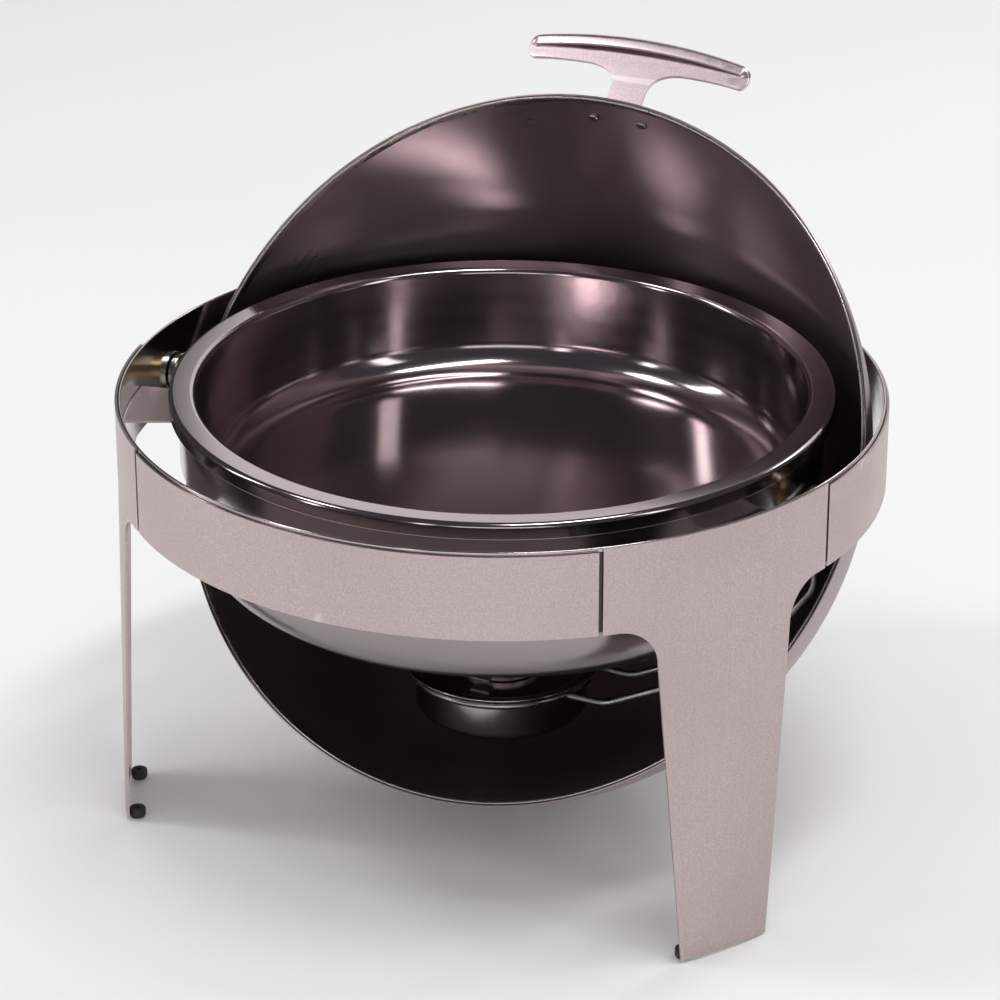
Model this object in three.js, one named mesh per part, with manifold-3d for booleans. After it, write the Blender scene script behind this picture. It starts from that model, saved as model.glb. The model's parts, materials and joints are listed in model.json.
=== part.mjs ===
// Round roll-top chafer: a satin steel band on three legs, a dome lid that rolls back on two side pivots,
// a water pan and a food pan on a carrier ring, and a gel-fuel burner hung under the pans in a wire cradle.
// Millimetres, +Z up, -Y is the front, and X is the pivot line. Angles are in degrees, and an angle around
// the band is measured from the front, growing towards +X.

import * as THREE from 'three';
import { mergeVertices } from 'three/addons/utils/BufferGeometryUtils.js';
import Module from 'manifold-3d';

const wasm = await Module();
wasm.setup();

// Driving dimensions.
const GAP = 0.3;
const SHEET = 1.5;
const BAND_RADIUS = 225;
const BAND_TOP = 266;
const BAND_HEIGHT = 52;
const PANEL_DROP = 2.2;
const SEAM = 2.4;
const LEG_ANGLE = 60;
const LEG_TOP_HALF_SPAN = 19.6;
const LEG_FILLET = 23;
const LEG_SHOULDER_HALF_WIDTH = 45;
const LEG_FOOT_HALF_WIDTH = 29;
const LEG_SPLAY = 4.5;
const FOOT_HEIGHT = 6;
const FOOT_RADIUS = 5;
const FOOT_STAND_OFF = 1.6;

const PIVOT_HEIGHT = 233.4;
const OPEN_ANGLE = 124.5;
const LID_RADIUS = 216.5;
const LID_SHEET = 1.3;
const LID_RIM_OFFSET = 20;
const HEM_WIDTH = 6;
const HEM_SHEET = 1;
const HEM_GAP = 0.8;
const EAR_FACE = 210;
const EAR_SHEET = 2;
const EAR_RADIUS = 11;
const EAR_HALF_WIDTH = 12;
const EAR_LENGTH = 40;
const EAR_RIVET_HEIGHT = 32;
const EAR_RIVET_SPREAD = 7;
const STUD_RADIUS = 3.9;
const BORE_RADIUS = 4.2;
const RIVET_RADIUS = 2.1;
const RIVET_HOLE = 2.4;

const HANDLE_ANGLE = 12.5;
const HANDLE_REACH = 52;
const HANDLE_SHEET = 2.6;
const HANDLE_CURL_GAP = 3.2;
const HANDLE_CURL_LIP = 4;
const HANDLE_BAR_LENGTH = 146;
const HANDLE_BAR_DEPTH = 16;
const HANDLE_BAR_BOW = 5;
const HANDLE_STEM_WIDTH = 23;
const HANDLE_FOOT_WIDTH = 46;
const HANDLE_FOOT_DEPTH = 13;
const HANDLE_FOOT_SHEET = 2.5;

const PAN_RIM_RADIUS = 194;
const PAN_RIM_TOP = 268.7;
const PAN_RIM_SKIRT = 9.5;
const PAN_MOUTH_RADIUS = 181;
const PAN_SHEET = 1.2;
const FOOD_PAN_DEPTH = 64;
const FOOD_PAN_FLOOR_RADIUS = 152;
const FOOD_PAN_CORNER = 20;
const WATER_PAN_RADIUS = 184.5;
const WATER_PAN_BOTTOM = 154;
const WATER_PAN_CORNER = 42;
const CARRIER_RADIUS = 188.4;
const CARRIER_BOTTOM = 226;
const SHELF_BOTTOM = 242.2;
const SHELF_FRONT_ANGLE = 63.5;
const SHELF_BACK_ANGLE = 77;

const CRADLE_WIRE = 2.4;
const CRADLE_HEIGHT = 84.5;
const CRADLE_RING_RADIUS = 55.5;
const CRADLE_HALF_SPREAD = 20;
const CRADLE_BEND = 78;
const CRADLE_RISE = 27;
const CRADLE_KNEE = 164;
const CUP_RIM_RADIUS = 60;
const CUP_RIM_TOP = 90;
const CUP_RADIUS = 52;
const CUP_BOTTOM = 58;
const CAN_RADIUS = 42.5;
const CAN_MOUTH = 21;
const COVER_BOTTOM = 82;
const COVER_SHEET = 1.2;
const SNUFFER_RADIUS = 23.5;
const HINGE_REACH = 30;
const HINGE_HEIGHT = 86.6;
const HINGE_PIN = 1.4;
const HINGE_BORE = 1.8;
const KNUCKLE_RADIUS = 3;
const LUG_INSIDE = 4;
const LUG_SHEET = 2.5;

const BAND_SEGMENTS = 72;
const PAN_SEGMENTS = 48;
const SMALL_SEGMENTS = 14;
const RIVET_SEGMENTS = 10;
const BURNER_SEGMENTS = 24;

const BAND_BOTTOM = BAND_TOP - BAND_HEIGHT;
const HOOP_RADIUS = BAND_RADIUS - SHEET - GAP;
const HOOP_INNER = HOOP_RADIUS - SHEET;
const SEAM_ANGLE = THREE.MathUtils.radToDeg(SEAM / BAND_RADIUS);

// Materials.
const finish = (color, roughness, metalness = 1) =>
  new THREE.MeshStandardMaterial({ color, roughness, metalness });
const satinSteel = () => finish(0xb4a7a4, 0.38);
const polishedSteel = () => finish(0xa8a3a3, 0.12);
const brightSteel = () => finish(0xd0cccb, 0.18);
const brass = () => finish(0xc9a24e, 0.3);
const blackRubber = () => finish(0x1b1a1b, 0.85, 0);
const tin = () => finish(0x8d8a86, 0.45);

// Geometry helpers.
const radians = THREE.MathUtils.degToRad;
const point = (x, y) => new THREE.Vector2(x, y);

// A point on a circle of the given radius around the Z axis, at an angle from the front.
function onCircle(angle, radius, z = 0) {
  return new THREE.Vector3(radius * Math.sin(radians(angle)), -radius * Math.cos(radians(angle)), z);
}

// Points along an arc, both ends included.
function arc(cx, cy, radius, from, to, steps) {
  return Array.from({ length: steps + 1 }, (_, i) => {
    const t = radians(from + ((to - from) * i) / steps);
    return point(cx + radius * Math.cos(t), cy + radius * Math.sin(t));
  });
}

// Turns an anticlockwise profile of (radius, height) points around the Z axis. A profile that leaves the
// axis closes on itself.
function turned(profile, segments) {
  const touchesAxis = profile[0].x === 0;
  const points = touchesAxis ? profile : [...profile, profile[0]];
  const geometry = new THREE.LatheGeometry(points, segments);
  geometry.rotateX(Math.PI / 2);
  return geometry;
}

// A disc, washer or drum with a straight wall.
function drum(radius, bottom, top, segments = SMALL_SEGMENTS, bore = 0) {
  const profile = bore
    ? [point(bore, bottom), point(radius, bottom), point(radius, top), point(bore, top)]
    : [point(0, bottom), point(radius, bottom), point(radius, top), point(0, top)];
  return turned(profile, segments);
}

// A sheet rolled around the Z axis. Each row gives a height, an outer radius and two edge angles.
function rolledSheet(rows, columns, thickness) {
  const positions = [];
  const index = [];
  const skins = [0, thickness];
  for (const inset of skins) {
    for (const { z, radius, from, to } of rows) {
      for (let i = 0; i <= columns; i += 1) {
        const p = onCircle(from + ((to - from) * i) / columns, radius - inset, z);
        positions.push(p.x, p.y, p.z);
      }
    }
  }
  const width = columns + 1;
  const inner = rows.length * width;
  const quad = (a, b, c, d) => index.push(a, b, c, a, c, d);
  for (let r = 0; r < rows.length - 1; r += 1) {
    for (let i = 0; i < columns; i += 1) {
      const a = r * width + i;
      quad(a, a + 1, a + width + 1, a + width);
      quad(inner + a, inner + a + width, inner + a + width + 1, inner + a + 1);
    }
    const left = r * width;
    const right = left + columns;
    quad(left, left + width, inner + left + width, inner + left);
    quad(right, inner + right, inner + right + width, right + width);
  }
  for (let i = 0; i < columns; i += 1) {
    const top = (rows.length - 1) * width + i;
    quad(i, inner + i, inner + i + 1, i + 1);
    quad(top, top + 1, inner + top + 1, inner + top);
  }
  const geometry = new THREE.BufferGeometry();
  geometry.setAttribute('position', new THREE.Float32BufferAttribute(positions, 3));
  geometry.setIndex(index);
  geometry.computeVertexNormals();
  return geometry;
}

// A plate: an outline in XY with a thickness in Z.
function plate(outline, thickness, curveSegments = 6) {
  return new THREE.ExtrudeGeometry(outline, { depth: thickness, bevelEnabled: false, curveSegments });
}

// A round wire along a curve.
function wire(curve, radius, steps, sides = 8) {
  const section = new THREE.Shape(arc(0, 0, radius, 0, 360 - 360 / sides, sides - 1));
  return new THREE.ExtrudeGeometry(section, { steps, extrudePath: curve, bevelEnabled: false });
}

function toSolid(geometry) {
  const bare = geometry.clone();
  bare.deleteAttribute('normal');
  bare.deleteAttribute('uv');
  const merged = mergeVertices(bare, 1e-4);
  const vertProperties = new Float32Array(merged.attributes.position.array);
  const triVerts = new Uint32Array(merged.index.array);
  return new wasm.Manifold(new wasm.Mesh({ numProp: 3, vertProperties, triVerts }));
}

function toGeometry(solid) {
  const mesh = solid.getMesh();
  const geometry = new THREE.BufferGeometry();
  geometry.setAttribute('position', new THREE.Float32BufferAttribute(mesh.vertProperties, 3));
  geometry.setIndex(new THREE.Uint32BufferAttribute(mesh.triVerts, 1));
  geometry.computeVertexNormals();
  return geometry;
}

const join = (...parts) => toGeometry(parts.map(toSolid).reduce((a, b) => a.add(b)));
const cut = (body, ...tools) => toGeometry(tools.map(toSolid).reduce((a, b) => a.subtract(b), toSolid(body)));

function piece(name, geometry, material) {
  const mesh = new THREE.Mesh(geometry, material);
  mesh.name = name;
  return mesh;
}

const SIDES = [['left', -1], ['right', 1]];

// Turns a shape made along Z so that Z points away from the centre, along X, on one side.
const alongX = (geometry, side) => geometry.rotateY((side * Math.PI) / 2);

// The band: a polished inner hoop, three satin panels, and three legs whose heads fill the space between.
function hoop() {
  const sheet = drum(HOOP_RADIUS, BAND_BOTTOM + 1, BAND_TOP, BAND_SEGMENTS, HOOP_INNER);
  return piece('hoop', sheet, polishedSteel());
}

const LEGS = [['leg_left', -LEG_ANGLE], ['leg_right', LEG_ANGLE], ['leg_back', 180]];

function panels() {
  const columns = 18;
  const spans = [
    ['panel_front', -LEG_ANGLE, LEG_ANGLE],
    ['panel_right', LEG_ANGLE, 180],
    ['panel_left', -180, -LEG_ANGLE],
  ];
  return spans.map(([name, from, to]) => {
    const edges = { from: from + LEG_TOP_HALF_SPAN + SEAM_ANGLE, to: to - LEG_TOP_HALF_SPAN - SEAM_ANGLE };
    const rows = [BAND_BOTTOM, BAND_TOP - PANEL_DROP].map((z) => ({ z, radius: BAND_RADIUS, ...edges }));
    return piece(name, rolledSheet(rows, columns, SHEET), satinSteel());
  });
}

// Half the leg's width, as an angle, at a height: a fillet under the band, then a straight taper.
function legHalfSpan(z) {
  const shoulder = BAND_BOTTOM - LEG_FILLET;
  const toSpan = (width) => THREE.MathUtils.radToDeg(width / BAND_RADIUS);
  if (z >= BAND_BOTTOM) {
    return LEG_TOP_HALF_SPAN;
  }
  if (z > shoulder) {
    const depth = (z - shoulder) / LEG_FILLET;
    return toSpan(LEG_SHOULDER_HALF_WIDTH + LEG_FILLET * (1 - Math.sqrt(1 - depth * depth)));
  }
  const taper = (z - FOOT_STAND_OFF) / (shoulder - FOOT_STAND_OFF);
  return toSpan(LEG_FOOT_HALF_WIDTH + (LEG_SHOULDER_HALF_WIDTH - LEG_FOOT_HALF_WIDTH) * taper);
}

const legRadius = (z) => BAND_RADIUS + LEG_SPLAY * Math.max(0, (BAND_BOTTOM - z) / BAND_BOTTOM);

function legs() {
  const fillet = [0, 0.3, 0.55, 0.75, 0.88, 0.96, 0.995].map((t) => BAND_BOTTOM - LEG_FILLET * (1 - t));
  const heights = [FOOT_STAND_OFF, ...fillet, BAND_BOTTOM, BAND_TOP];
  return LEGS.map(([name, angle]) => {
    const rows = heights.map((z) => {
      const span = legHalfSpan(z);
      return { z, radius: legRadius(z), from: angle - span, to: angle + span };
    });
    return piece(name, rolledSheet(rows, 8, SHEET), satinSteel());
  });
}

// A rubber button inside each lower corner of each leg. The leg's edge stands just clear of the table.
function feet() {
  const made = [];
  const footRing = legRadius(FOOT_HEIGHT) - SHEET - GAP - FOOT_RADIUS;
  const inset = THREE.MathUtils.radToDeg((LEG_FOOT_HALF_WIDTH - FOOT_RADIUS) / BAND_RADIUS);
  for (const [legName, angle] of LEGS) {
    for (const [end, sign] of [['a', -1], ['b', 1]]) {
      const footName = `${legName.replace('leg', 'foot')}_${end}`;
      const foot = piece(footName, drum(FOOT_RADIUS, 0, FOOT_HEIGHT), blackRubber());
      foot.position.copy(onCircle(angle + sign * inset, footRing));
      made.push(foot);
    }
  }
  return made;
}

// The carrier ring holds the pans. Two side shelves tie it to the hoop, ahead of the pivots.
function carrier() {
  const top = PAN_RIM_TOP - 2 * PAN_SHEET - 2 * GAP;
  const ring = drum(CARRIER_RADIUS, CARRIER_BOTTOM, top, PAN_SEGMENTS, CARRIER_RADIUS - SHEET);
  return piece('carrier_ring', ring, polishedSteel());
}

function shelves() {
  const outline = (from, to) => {
    const inner = CARRIER_RADIUS + GAP;
    const outer = HOOP_INNER - GAP - 0.15;
    const shape = new THREE.Shape();
    const steps = 6;
    const rim = (radius, a, b) => Array.from({ length: steps + 1 }, (_, i) => {
      const p = onCircle(a + ((b - a) * i) / steps, radius);
      return point(p.x, p.y);
    });
    shape.setFromPoints([...rim(outer, from, to), ...rim(inner, to, from)]);
    return shape;
  };
  return SIDES.map(([name, side]) => {
    const [from, to] = side > 0
      ? [SHELF_FRONT_ANGLE, SHELF_BACK_ANGLE]
      : [-SHELF_BACK_ANGLE, -SHELF_FRONT_ANGLE];
    const shelf = piece(`side_shelf_${name}`, plate(outline(from, to), SHEET), satinSteel());
    shelf.position.z = SHELF_BOTTOM;
    return shelf;
  });
}

// Rubber buttons inside the front of the hoop, on which the closed lid's rim rests.
function bumpers() {
  const radius = 5;
  const angle = 40;
  return SIDES.map(([name, side]) => {
    const button = drum(radius, HOOP_INNER - 11, HOOP_INNER - GAP - 0.2, 12);
    button.rotateX(Math.PI / 2);
    const bumper = piece(`lid_bumper_${name}`, button, blackRubber());
    bumper.position.z = PIVOT_HEIGHT + LID_RIM_OFFSET - GAP - radius;
    bumper.rotation.z = radians(side * angle);
    return bumper;
  });
}

// Each pivot: a stud standing on the hoop, a bush and the lid's ear turning on it, a washer and a cap nut.
function pivots() {
  const boss = { from: LID_RADIUS + 0.4, to: HOOP_INNER - 3 * GAP, radius: 12 };
  const washer = { from: EAR_FACE - EAR_SHEET - GAP - 1.5, to: EAR_FACE - EAR_SHEET - GAP, radius: 12 };
  const nut = { from: washer.from - GAP - 8, to: washer.from - GAP, radius: 8, bore: 4.9, cap: 2.5 };
  const made = [];
  for (const [name, side] of SIDES) {
    const studProfile = [
      point(0, nut.from + nut.cap), point(STUD_RADIUS, nut.from + nut.cap), point(STUD_RADIUS, boss.from),
      point(boss.radius, boss.from), point(boss.radius, boss.to), point(0, boss.to),
    ];
    const nutProfile = [
      point(0, nut.from), point(nut.radius * 0.6, nut.from), point(nut.radius, nut.from + nut.cap),
      point(nut.radius, nut.to), point(nut.bore, nut.to), point(nut.bore, nut.from + nut.cap - GAP),
      point(0, nut.from + nut.cap - GAP),
    ];
    const parts = [
      piece(`pivot_stud_${name}`, turned(studProfile, SMALL_SEGMENTS), brightSteel()),
      piece(`pivot_washer_${name}`, drum(washer.radius, washer.from, washer.to, SMALL_SEGMENTS, BORE_RADIUS),
        brightSteel()),
      piece(`pivot_nut_${name}`, turned(nutProfile, 6), brass()),
    ];
    for (const part of parts) {
      alongX(part.geometry, side);
      part.position.z = PIVOT_HEIGHT;
      made.push(part);
    }
  }
  return made;
}

// The lid is made closed, around its pivot line, and turned back to its rest position by its group.
function lidDome() {
  const outer = LID_RADIUS;
  const inner = LID_RADIUS - LID_SHEET;
  const lowest = (radius) => THREE.MathUtils.radToDeg(Math.asin(LID_RIM_OFFSET / radius));
  const steps = 9;
  const skin = (radius, from, to) => arc(0, 0, radius, from, to, steps);
  const onAxis = (p) => (p.x < 1e-6 ? point(0, p.y) : p);
  const profile = [...skin(inner, 90, lowest(inner)), ...skin(outer, lowest(outer), 90)].map(onAxis);
  const shell = turned(profile, PAN_SEGMENTS);
  return piece('lid_dome', cut(shell, ...earRivetHoles(), ...handleRivetHoles()), polishedSteel());
}

function earRivetSpots() {
  return SIDES.flatMap(([name, side]) => [['front', -1], ['rear', 1]].map(([end, way]) => (
    { name: `ear_rivet_${name}_${end}`, side, y: way * EAR_RIVET_SPREAD, z: EAR_RIVET_HEIGHT })));
}

function earRivetHoles() {
  return earRivetSpots().map(({ side, y, z }) => {
    const hole = alongX(drum(RIVET_HOLE, EAR_FACE - 6, LID_RADIUS + 6, 10), side);
    return hole.translate(0, y, z);
  });
}

function earRivets() {
  const start = EAR_FACE - EAR_SHEET - GAP;
  const reach = Math.sqrt(LID_RADIUS ** 2 - EAR_RIVET_HEIGHT ** 2 - EAR_RIVET_SPREAD ** 2) + 0.6;
  const profile = [
    point(0, start - 1.6), point(2.4, start - 1.4), point(4, start), point(RIVET_RADIUS, start),
    point(RIVET_RADIUS, reach), point(3.6, reach), point(2.2, reach + 1.1), point(0, reach + 1.3),
  ];
  return earRivetSpots().map(({ name, side, y, z }) => {
    const rivet = alongX(turned(profile, RIVET_SEGMENTS), side);
    return piece(name, rivet.translate(0, y, z), brightSteel());
  });
}

function lidRim() {
  const outer = LID_RADIUS - LID_SHEET - HEM_GAP;
  const inner = outer - HEM_SHEET;
  const at = (radius, z) => point(Math.sqrt(radius ** 2 - z ** 2), z);
  const low = LID_RIM_OFFSET;
  const high = LID_RIM_OFFSET + HEM_WIDTH;
  const profile = [at(inner, low), at(outer, low), at(outer, high), at(inner, high)];
  return piece('lid_rim', turned(profile, PAN_SEGMENTS), brightSteel());
}

function lidEars() {
  const made = [];
  for (const [name, side] of SIDES) {
    const shape = new THREE.Shape();
    shape.absarc(0, 0, EAR_RADIUS, Math.PI, 2 * Math.PI, false);
    shape.lineTo(EAR_HALF_WIDTH, 14);
    shape.lineTo(EAR_HALF_WIDTH, EAR_LENGTH - 4);
    shape.lineTo(EAR_HALF_WIDTH - 4, EAR_LENGTH);
    shape.lineTo(4 - EAR_HALF_WIDTH, EAR_LENGTH);
    shape.lineTo(-EAR_HALF_WIDTH, EAR_LENGTH - 4);
    shape.lineTo(-EAR_HALF_WIDTH, 14);
    const hole = (x, y, radius) => {
      const path = new THREE.Path();
      path.absarc(x, y, radius, 0, 2 * Math.PI, true);
      shape.holes.push(path);
    };
    hole(0, 0, BORE_RADIUS);
    hole(-EAR_RIVET_SPREAD, EAR_RIVET_HEIGHT, RIVET_HOLE);
    hole(EAR_RIVET_SPREAD, EAR_RIVET_HEIGHT, RIVET_HOLE);
    const ear = piece(`lid_ear_${name}`, plate(shape, EAR_SHEET, 7), brightSteel());
    ear.geometry.applyMatrix4(new THREE.Matrix4().makeBasis(
      new THREE.Vector3(0, 1, 0), new THREE.Vector3(0, 0, 1), new THREE.Vector3(1, 0, 0)));
    ear.position.x = side > 0 ? EAR_FACE - EAR_SHEET : -EAR_FACE;
    made.push(ear);
    const bush = alongX(drum(7, EAR_FACE + GAP, LID_RADIUS + 0.1, SMALL_SEGMENTS, BORE_RADIUS), side);
    made.push(piece(`pivot_bush_${name}`, bush, brass()));
  }
  return made;
}

// The handle is a flat T with a curled front edge, standing out from the lid on a foot. Its own frame has
// X along the bar, Y out of the lid, and the origin on the pivot line.
const handleFrame = () => {
  const frame = new THREE.Group();
  frame.rotation.x = Math.PI - radians(HANDLE_ANGLE);
  return frame;
};

const HANDLE_RIVET_SPREAD = 16;
const HANDLE_BASE = LID_RADIUS + GAP;

function handleRivetHoles() {
  const turn = handleFrame();
  turn.updateMatrixWorld();
  return [-1, 1].map((way) => {
    const hole = drum(RIVET_HOLE, LID_RADIUS - 8, LID_RADIUS + 8, 10).rotateX(-Math.PI / 2);
    hole.translate(way * HANDLE_RIVET_SPREAD, 0, 0);
    return hole.applyMatrix4(turn.matrixWorld);
  });
}

// The bar's outer edge curled back over its face: a hooked section swept along the bowed edge. The section
// is drawn about the curl's centre, with X across the face and Y out of the lid.
function handleCurl(halfLength, edge) {
  const rise = (HANDLE_SHEET + HANDLE_CURL_GAP) / 2;
  const skin = HANDLE_SHEET / 2;
  const root = 3;
  const section = new THREE.Shape([
    ...arc(-rise, 0, rise + skin, 0, 180, 8),
    point(-2 * rise - skin, -HANDLE_CURL_LIP), point(-2 * rise + skin, -HANDLE_CURL_LIP),
    ...arc(-rise, 0, rise - skin, 180, 0, 6),
    point(-skin, -root), point(skin, -root),
  ]);
  const end = halfLength - 2;
  const extrudePath = new THREE.QuadraticBezierCurve3(
    new THREE.Vector3(-end, edge - HANDLE_BAR_BOW, 0),
    new THREE.Vector3(0, edge + HANDLE_BAR_BOW, 0),
    new THREE.Vector3(end, edge - HANDLE_BAR_BOW, 0),
  );
  return new THREE.ExtrudeGeometry(section, { steps: 14, extrudePath, bevelEnabled: false });
}

function handleGeometry() {
  const half = HANDLE_BAR_LENGTH / 2;
  const tip = LID_RADIUS + HANDLE_REACH;
  const edge = tip - HANDLE_SHEET - HANDLE_CURL_GAP / 2;
  const barBack = tip - HANDLE_BAR_DEPTH - HANDLE_BAR_BOW;
  const stem = HANDLE_STEM_WIDTH / 2;
  const endRound = 5;
  const shape = new THREE.Shape();
  shape.moveTo(-stem, HANDLE_BASE);
  shape.lineTo(stem, HANDLE_BASE);
  shape.lineTo(stem, barBack - 12);
  shape.quadraticCurveTo(stem + 2, barBack + 1, stem + 20, barBack + 1.5);
  shape.quadraticCurveTo(half * 0.72, barBack + 1.5, half - endRound, barBack - 1);
  shape.quadraticCurveTo(half, barBack, half, barBack + endRound);
  shape.quadraticCurveTo(half, edge - HANDLE_BAR_BOW - 1, half - endRound, edge - HANDLE_BAR_BOW);
  shape.quadraticCurveTo(0, edge + HANDLE_BAR_BOW, endRound - half, edge - HANDLE_BAR_BOW);
  shape.quadraticCurveTo(-half, edge - HANDLE_BAR_BOW - 1, -half, barBack + endRound);
  shape.quadraticCurveTo(-half, barBack, endRound - half, barBack - 1);
  shape.quadraticCurveTo(-half * 0.72, barBack + 1.5, -stem - 20, barBack + 1.5);
  shape.quadraticCurveTo(-stem - 2, barBack + 1, -stem, barBack - 12);
  shape.closePath();
  const face = plate(shape, HANDLE_SHEET, 6).translate(0, 0, -HANDLE_SHEET / 2);
  const foot = new THREE.BoxGeometry(HANDLE_FOOT_WIDTH, HANDLE_FOOT_SHEET, HANDLE_FOOT_DEPTH);
  foot.translate(0, HANDLE_BASE + HANDLE_FOOT_SHEET / 2, 0);
  const holes = [-1, 1].map((way) => drum(RIVET_HOLE, HANDLE_BASE - 5, HANDLE_BASE + 8, 10)
    .rotateX(-Math.PI / 2).translate(way * HANDLE_RIVET_SPREAD, 0, 0));
  return cut(join(face, handleCurl(half - endRound, edge), foot), ...holes);
}

function handle() {
  const frame = handleFrame();
  frame.add(piece('lid_handle', handleGeometry(), satinSteel()));
  const head = HANDLE_BASE + HANDLE_FOOT_SHEET + GAP;
  const inside = Math.sqrt((LID_RADIUS - LID_SHEET) ** 2 - HANDLE_RIVET_SPREAD ** 2) - 1.3;
  const profile = [
    point(0, inside - 0.9), point(3.4, inside - 0.6), point(3.4, inside), point(RIVET_RADIUS, inside),
    point(RIVET_RADIUS, head), point(3.6, head), point(2.6, head + 1.4), point(0, head + 1.8),
  ];
  for (const [name, way] of SIDES) {
    const shape = turned(profile, RIVET_SEGMENTS).rotateX(-Math.PI / 2);
    const rivet = piece(`handle_rivet_${name}`, shape, brightSteel());
    rivet.position.x = way * HANDLE_RIVET_SPREAD;
    frame.add(rivet);
  }
  return frame;
}

function lid() {
  const group = new THREE.Group();
  group.add(lidDome(), lidRim(), ...lidEars(), ...earRivets(), handle());
  group.position.z = PIVOT_HEIGHT;
  group.rotation.x = -radians(OPEN_ANGLE);
  return group;
}

// The pans are turned from one line of sheet: flange, wall, rounded corner and floor.
function foodPan() {
  const top = PAN_RIM_TOP;
  const floor = top - FOOD_PAN_DEPTH;
  const corner = FOOD_PAN_CORNER;
  const taper = PAN_MOUTH_RADIUS - 3 - (FOOD_PAN_FLOOR_RADIUS + corner);
  const inside = [
    point(0, floor), ...arc(FOOD_PAN_FLOOR_RADIUS, floor + corner, corner, 270, 360, 4),
    point(PAN_MOUTH_RADIUS - 3, top - 4), ...arc(PAN_MOUTH_RADIUS, top - 3, 3, 180, 90, 2),
    point(PAN_RIM_RADIUS - 2, top), point(PAN_RIM_RADIUS, top - 2),
    point(PAN_RIM_RADIUS, top - PAN_RIM_SKIRT),
  ];
  const t = PAN_SHEET;
  const outside = [
    point(PAN_RIM_RADIUS - t, top - PAN_RIM_SKIRT), point(PAN_RIM_RADIUS - t, top - 2.2),
    point(PAN_RIM_RADIUS - t - 1.2, top - t), point(PAN_MOUTH_RADIUS + 1.2, top - t),
    point(PAN_MOUTH_RADIUS - 3 + t, top - 4.5), point(PAN_MOUTH_RADIUS - 3 + t - taper, floor + corner),
    ...arc(FOOD_PAN_FLOOR_RADIUS, floor + corner, corner + t, 360, 270, 4).slice(1), point(0, floor - t),
  ];
  return piece('food_pan', turned([...inside, ...outside].reverse(), PAN_SEGMENTS), polishedSteel());
}

function waterPan() {
  const t = PAN_SHEET;
  const top = PAN_RIM_TOP - t - GAP;
  const wall = WATER_PAN_RADIUS;
  const corner = WATER_PAN_CORNER;
  const flange = PAN_RIM_RADIUS - t - 1;
  const cx = wall - corner;
  const cz = WATER_PAN_BOTTOM + corner;
  const outside = [
    point(0, WATER_PAN_BOTTOM), ...arc(cx, cz, corner, 270, 360, 5),
    point(wall, top - t), point(flange - t, top - t), point(flange - t, top - 6), point(flange, top - 6),
    point(flange, top),
  ];
  const inside = [
    point(wall - t, top), ...arc(cx, cz, corner - t, 360, 270, 5), point(0, WATER_PAN_BOTTOM + t),
  ];
  return piece('water_pan', turned([...outside, ...inside], PAN_SEGMENTS), polishedSteel());
}

// The burner hangs under the pans: a wire cradle, a cup on it, and a fuel can under a cover with a snuffer.
function cradle() {
  const ring = new THREE.TorusGeometry(CRADLE_RING_RADIUS, CRADLE_WIRE, 6, BURNER_SEGMENTS);
  ring.translate(0, 0, CRADLE_HEIGHT);
  const parts = [piece('cradle_ring', ring, brightSteel())];
  const start = Math.sqrt((CRADLE_RING_RADIUS + CRADLE_WIRE + GAP + 0.2) ** 2 - CRADLE_HALF_SPREAD ** 2);
  const rise = Math.tan(radians(CRADLE_RISE));
  const slope = (x) => CRADLE_HEIGHT + rise * (x - CRADLE_BEND);
  const hook = CARRIER_RADIUS + CRADLE_WIRE + 2 * GAP;
  for (const [name, side] of SIDES) {
    const run = (y) => {
      const at = (x, z) => new THREE.Vector3(side * x, y, z);
      return [
        at(start, CRADLE_HEIGHT), at(CRADLE_BEND - 6, CRADLE_HEIGHT),
        at(CRADLE_BEND + 6, slope(CRADLE_BEND + 6)), at(CRADLE_KNEE, slope(CRADLE_KNEE)),
        at(CRADLE_KNEE + 14, slope(CRADLE_KNEE) + 15), at(hook - 3, slope(CRADLE_KNEE) + 37),
        at(hook, slope(CRADLE_KNEE) + 57), at(hook, CARRIER_BOTTOM + 3),
      ];
    };
    const near = run(-CRADLE_HALF_SPREAD);
    const far = run(CRADLE_HALF_SPREAD).reverse();
    const curve = new THREE.CatmullRomCurve3([...near, ...far], false, 'centripetal');
    parts.push(piece(`cradle_arm_${name}`, wire(curve, CRADLE_WIRE, 44, 6), brightSteel()));
  }
  return parts;
}

function burner() {
  const t = 1.2;
  const cupProfile = [
    point(0, CUP_BOTTOM), point(CUP_RADIUS - 4, CUP_BOTTOM), point(CUP_RADIUS, CUP_BOTTOM + 4),
    point(CUP_RADIUS, CUP_RIM_TOP - 2 - t), point(CUP_RIM_RADIUS, CUP_RIM_TOP - t),
    point(CUP_RIM_RADIUS, CUP_RIM_TOP),
    point(CUP_RADIUS - t, CUP_RIM_TOP - 2), point(CUP_RADIUS - t, CUP_BOTTOM + 4.4),
    point(CUP_RADIUS - 4.4, CUP_BOTTOM + t), point(0, CUP_BOTTOM + t),
  ];
  const canBottom = CUP_BOTTOM + t + GAP;
  const canTop = COVER_BOTTOM - GAP;
  const canSheet = 0.8;
  const canProfile = [
    point(0, canBottom), point(CAN_RADIUS, canBottom), point(CAN_RADIUS, canTop), point(CAN_MOUTH, canTop),
    point(CAN_MOUTH, canTop - canSheet), point(CAN_RADIUS - canSheet, canTop - canSheet),
    point(CAN_RADIUS - canSheet, canBottom + canSheet), point(0, canBottom + canSheet),
  ];
  return [
    piece('burner_cup', turned(cupProfile, BURNER_SEGMENTS), polishedSteel()),
    piece('fuel_can', turned(canProfile, BURNER_SEGMENTS), tin()),
    piece('burner_cover', burnerCover(), polishedSteel()),
  ];
}

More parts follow.
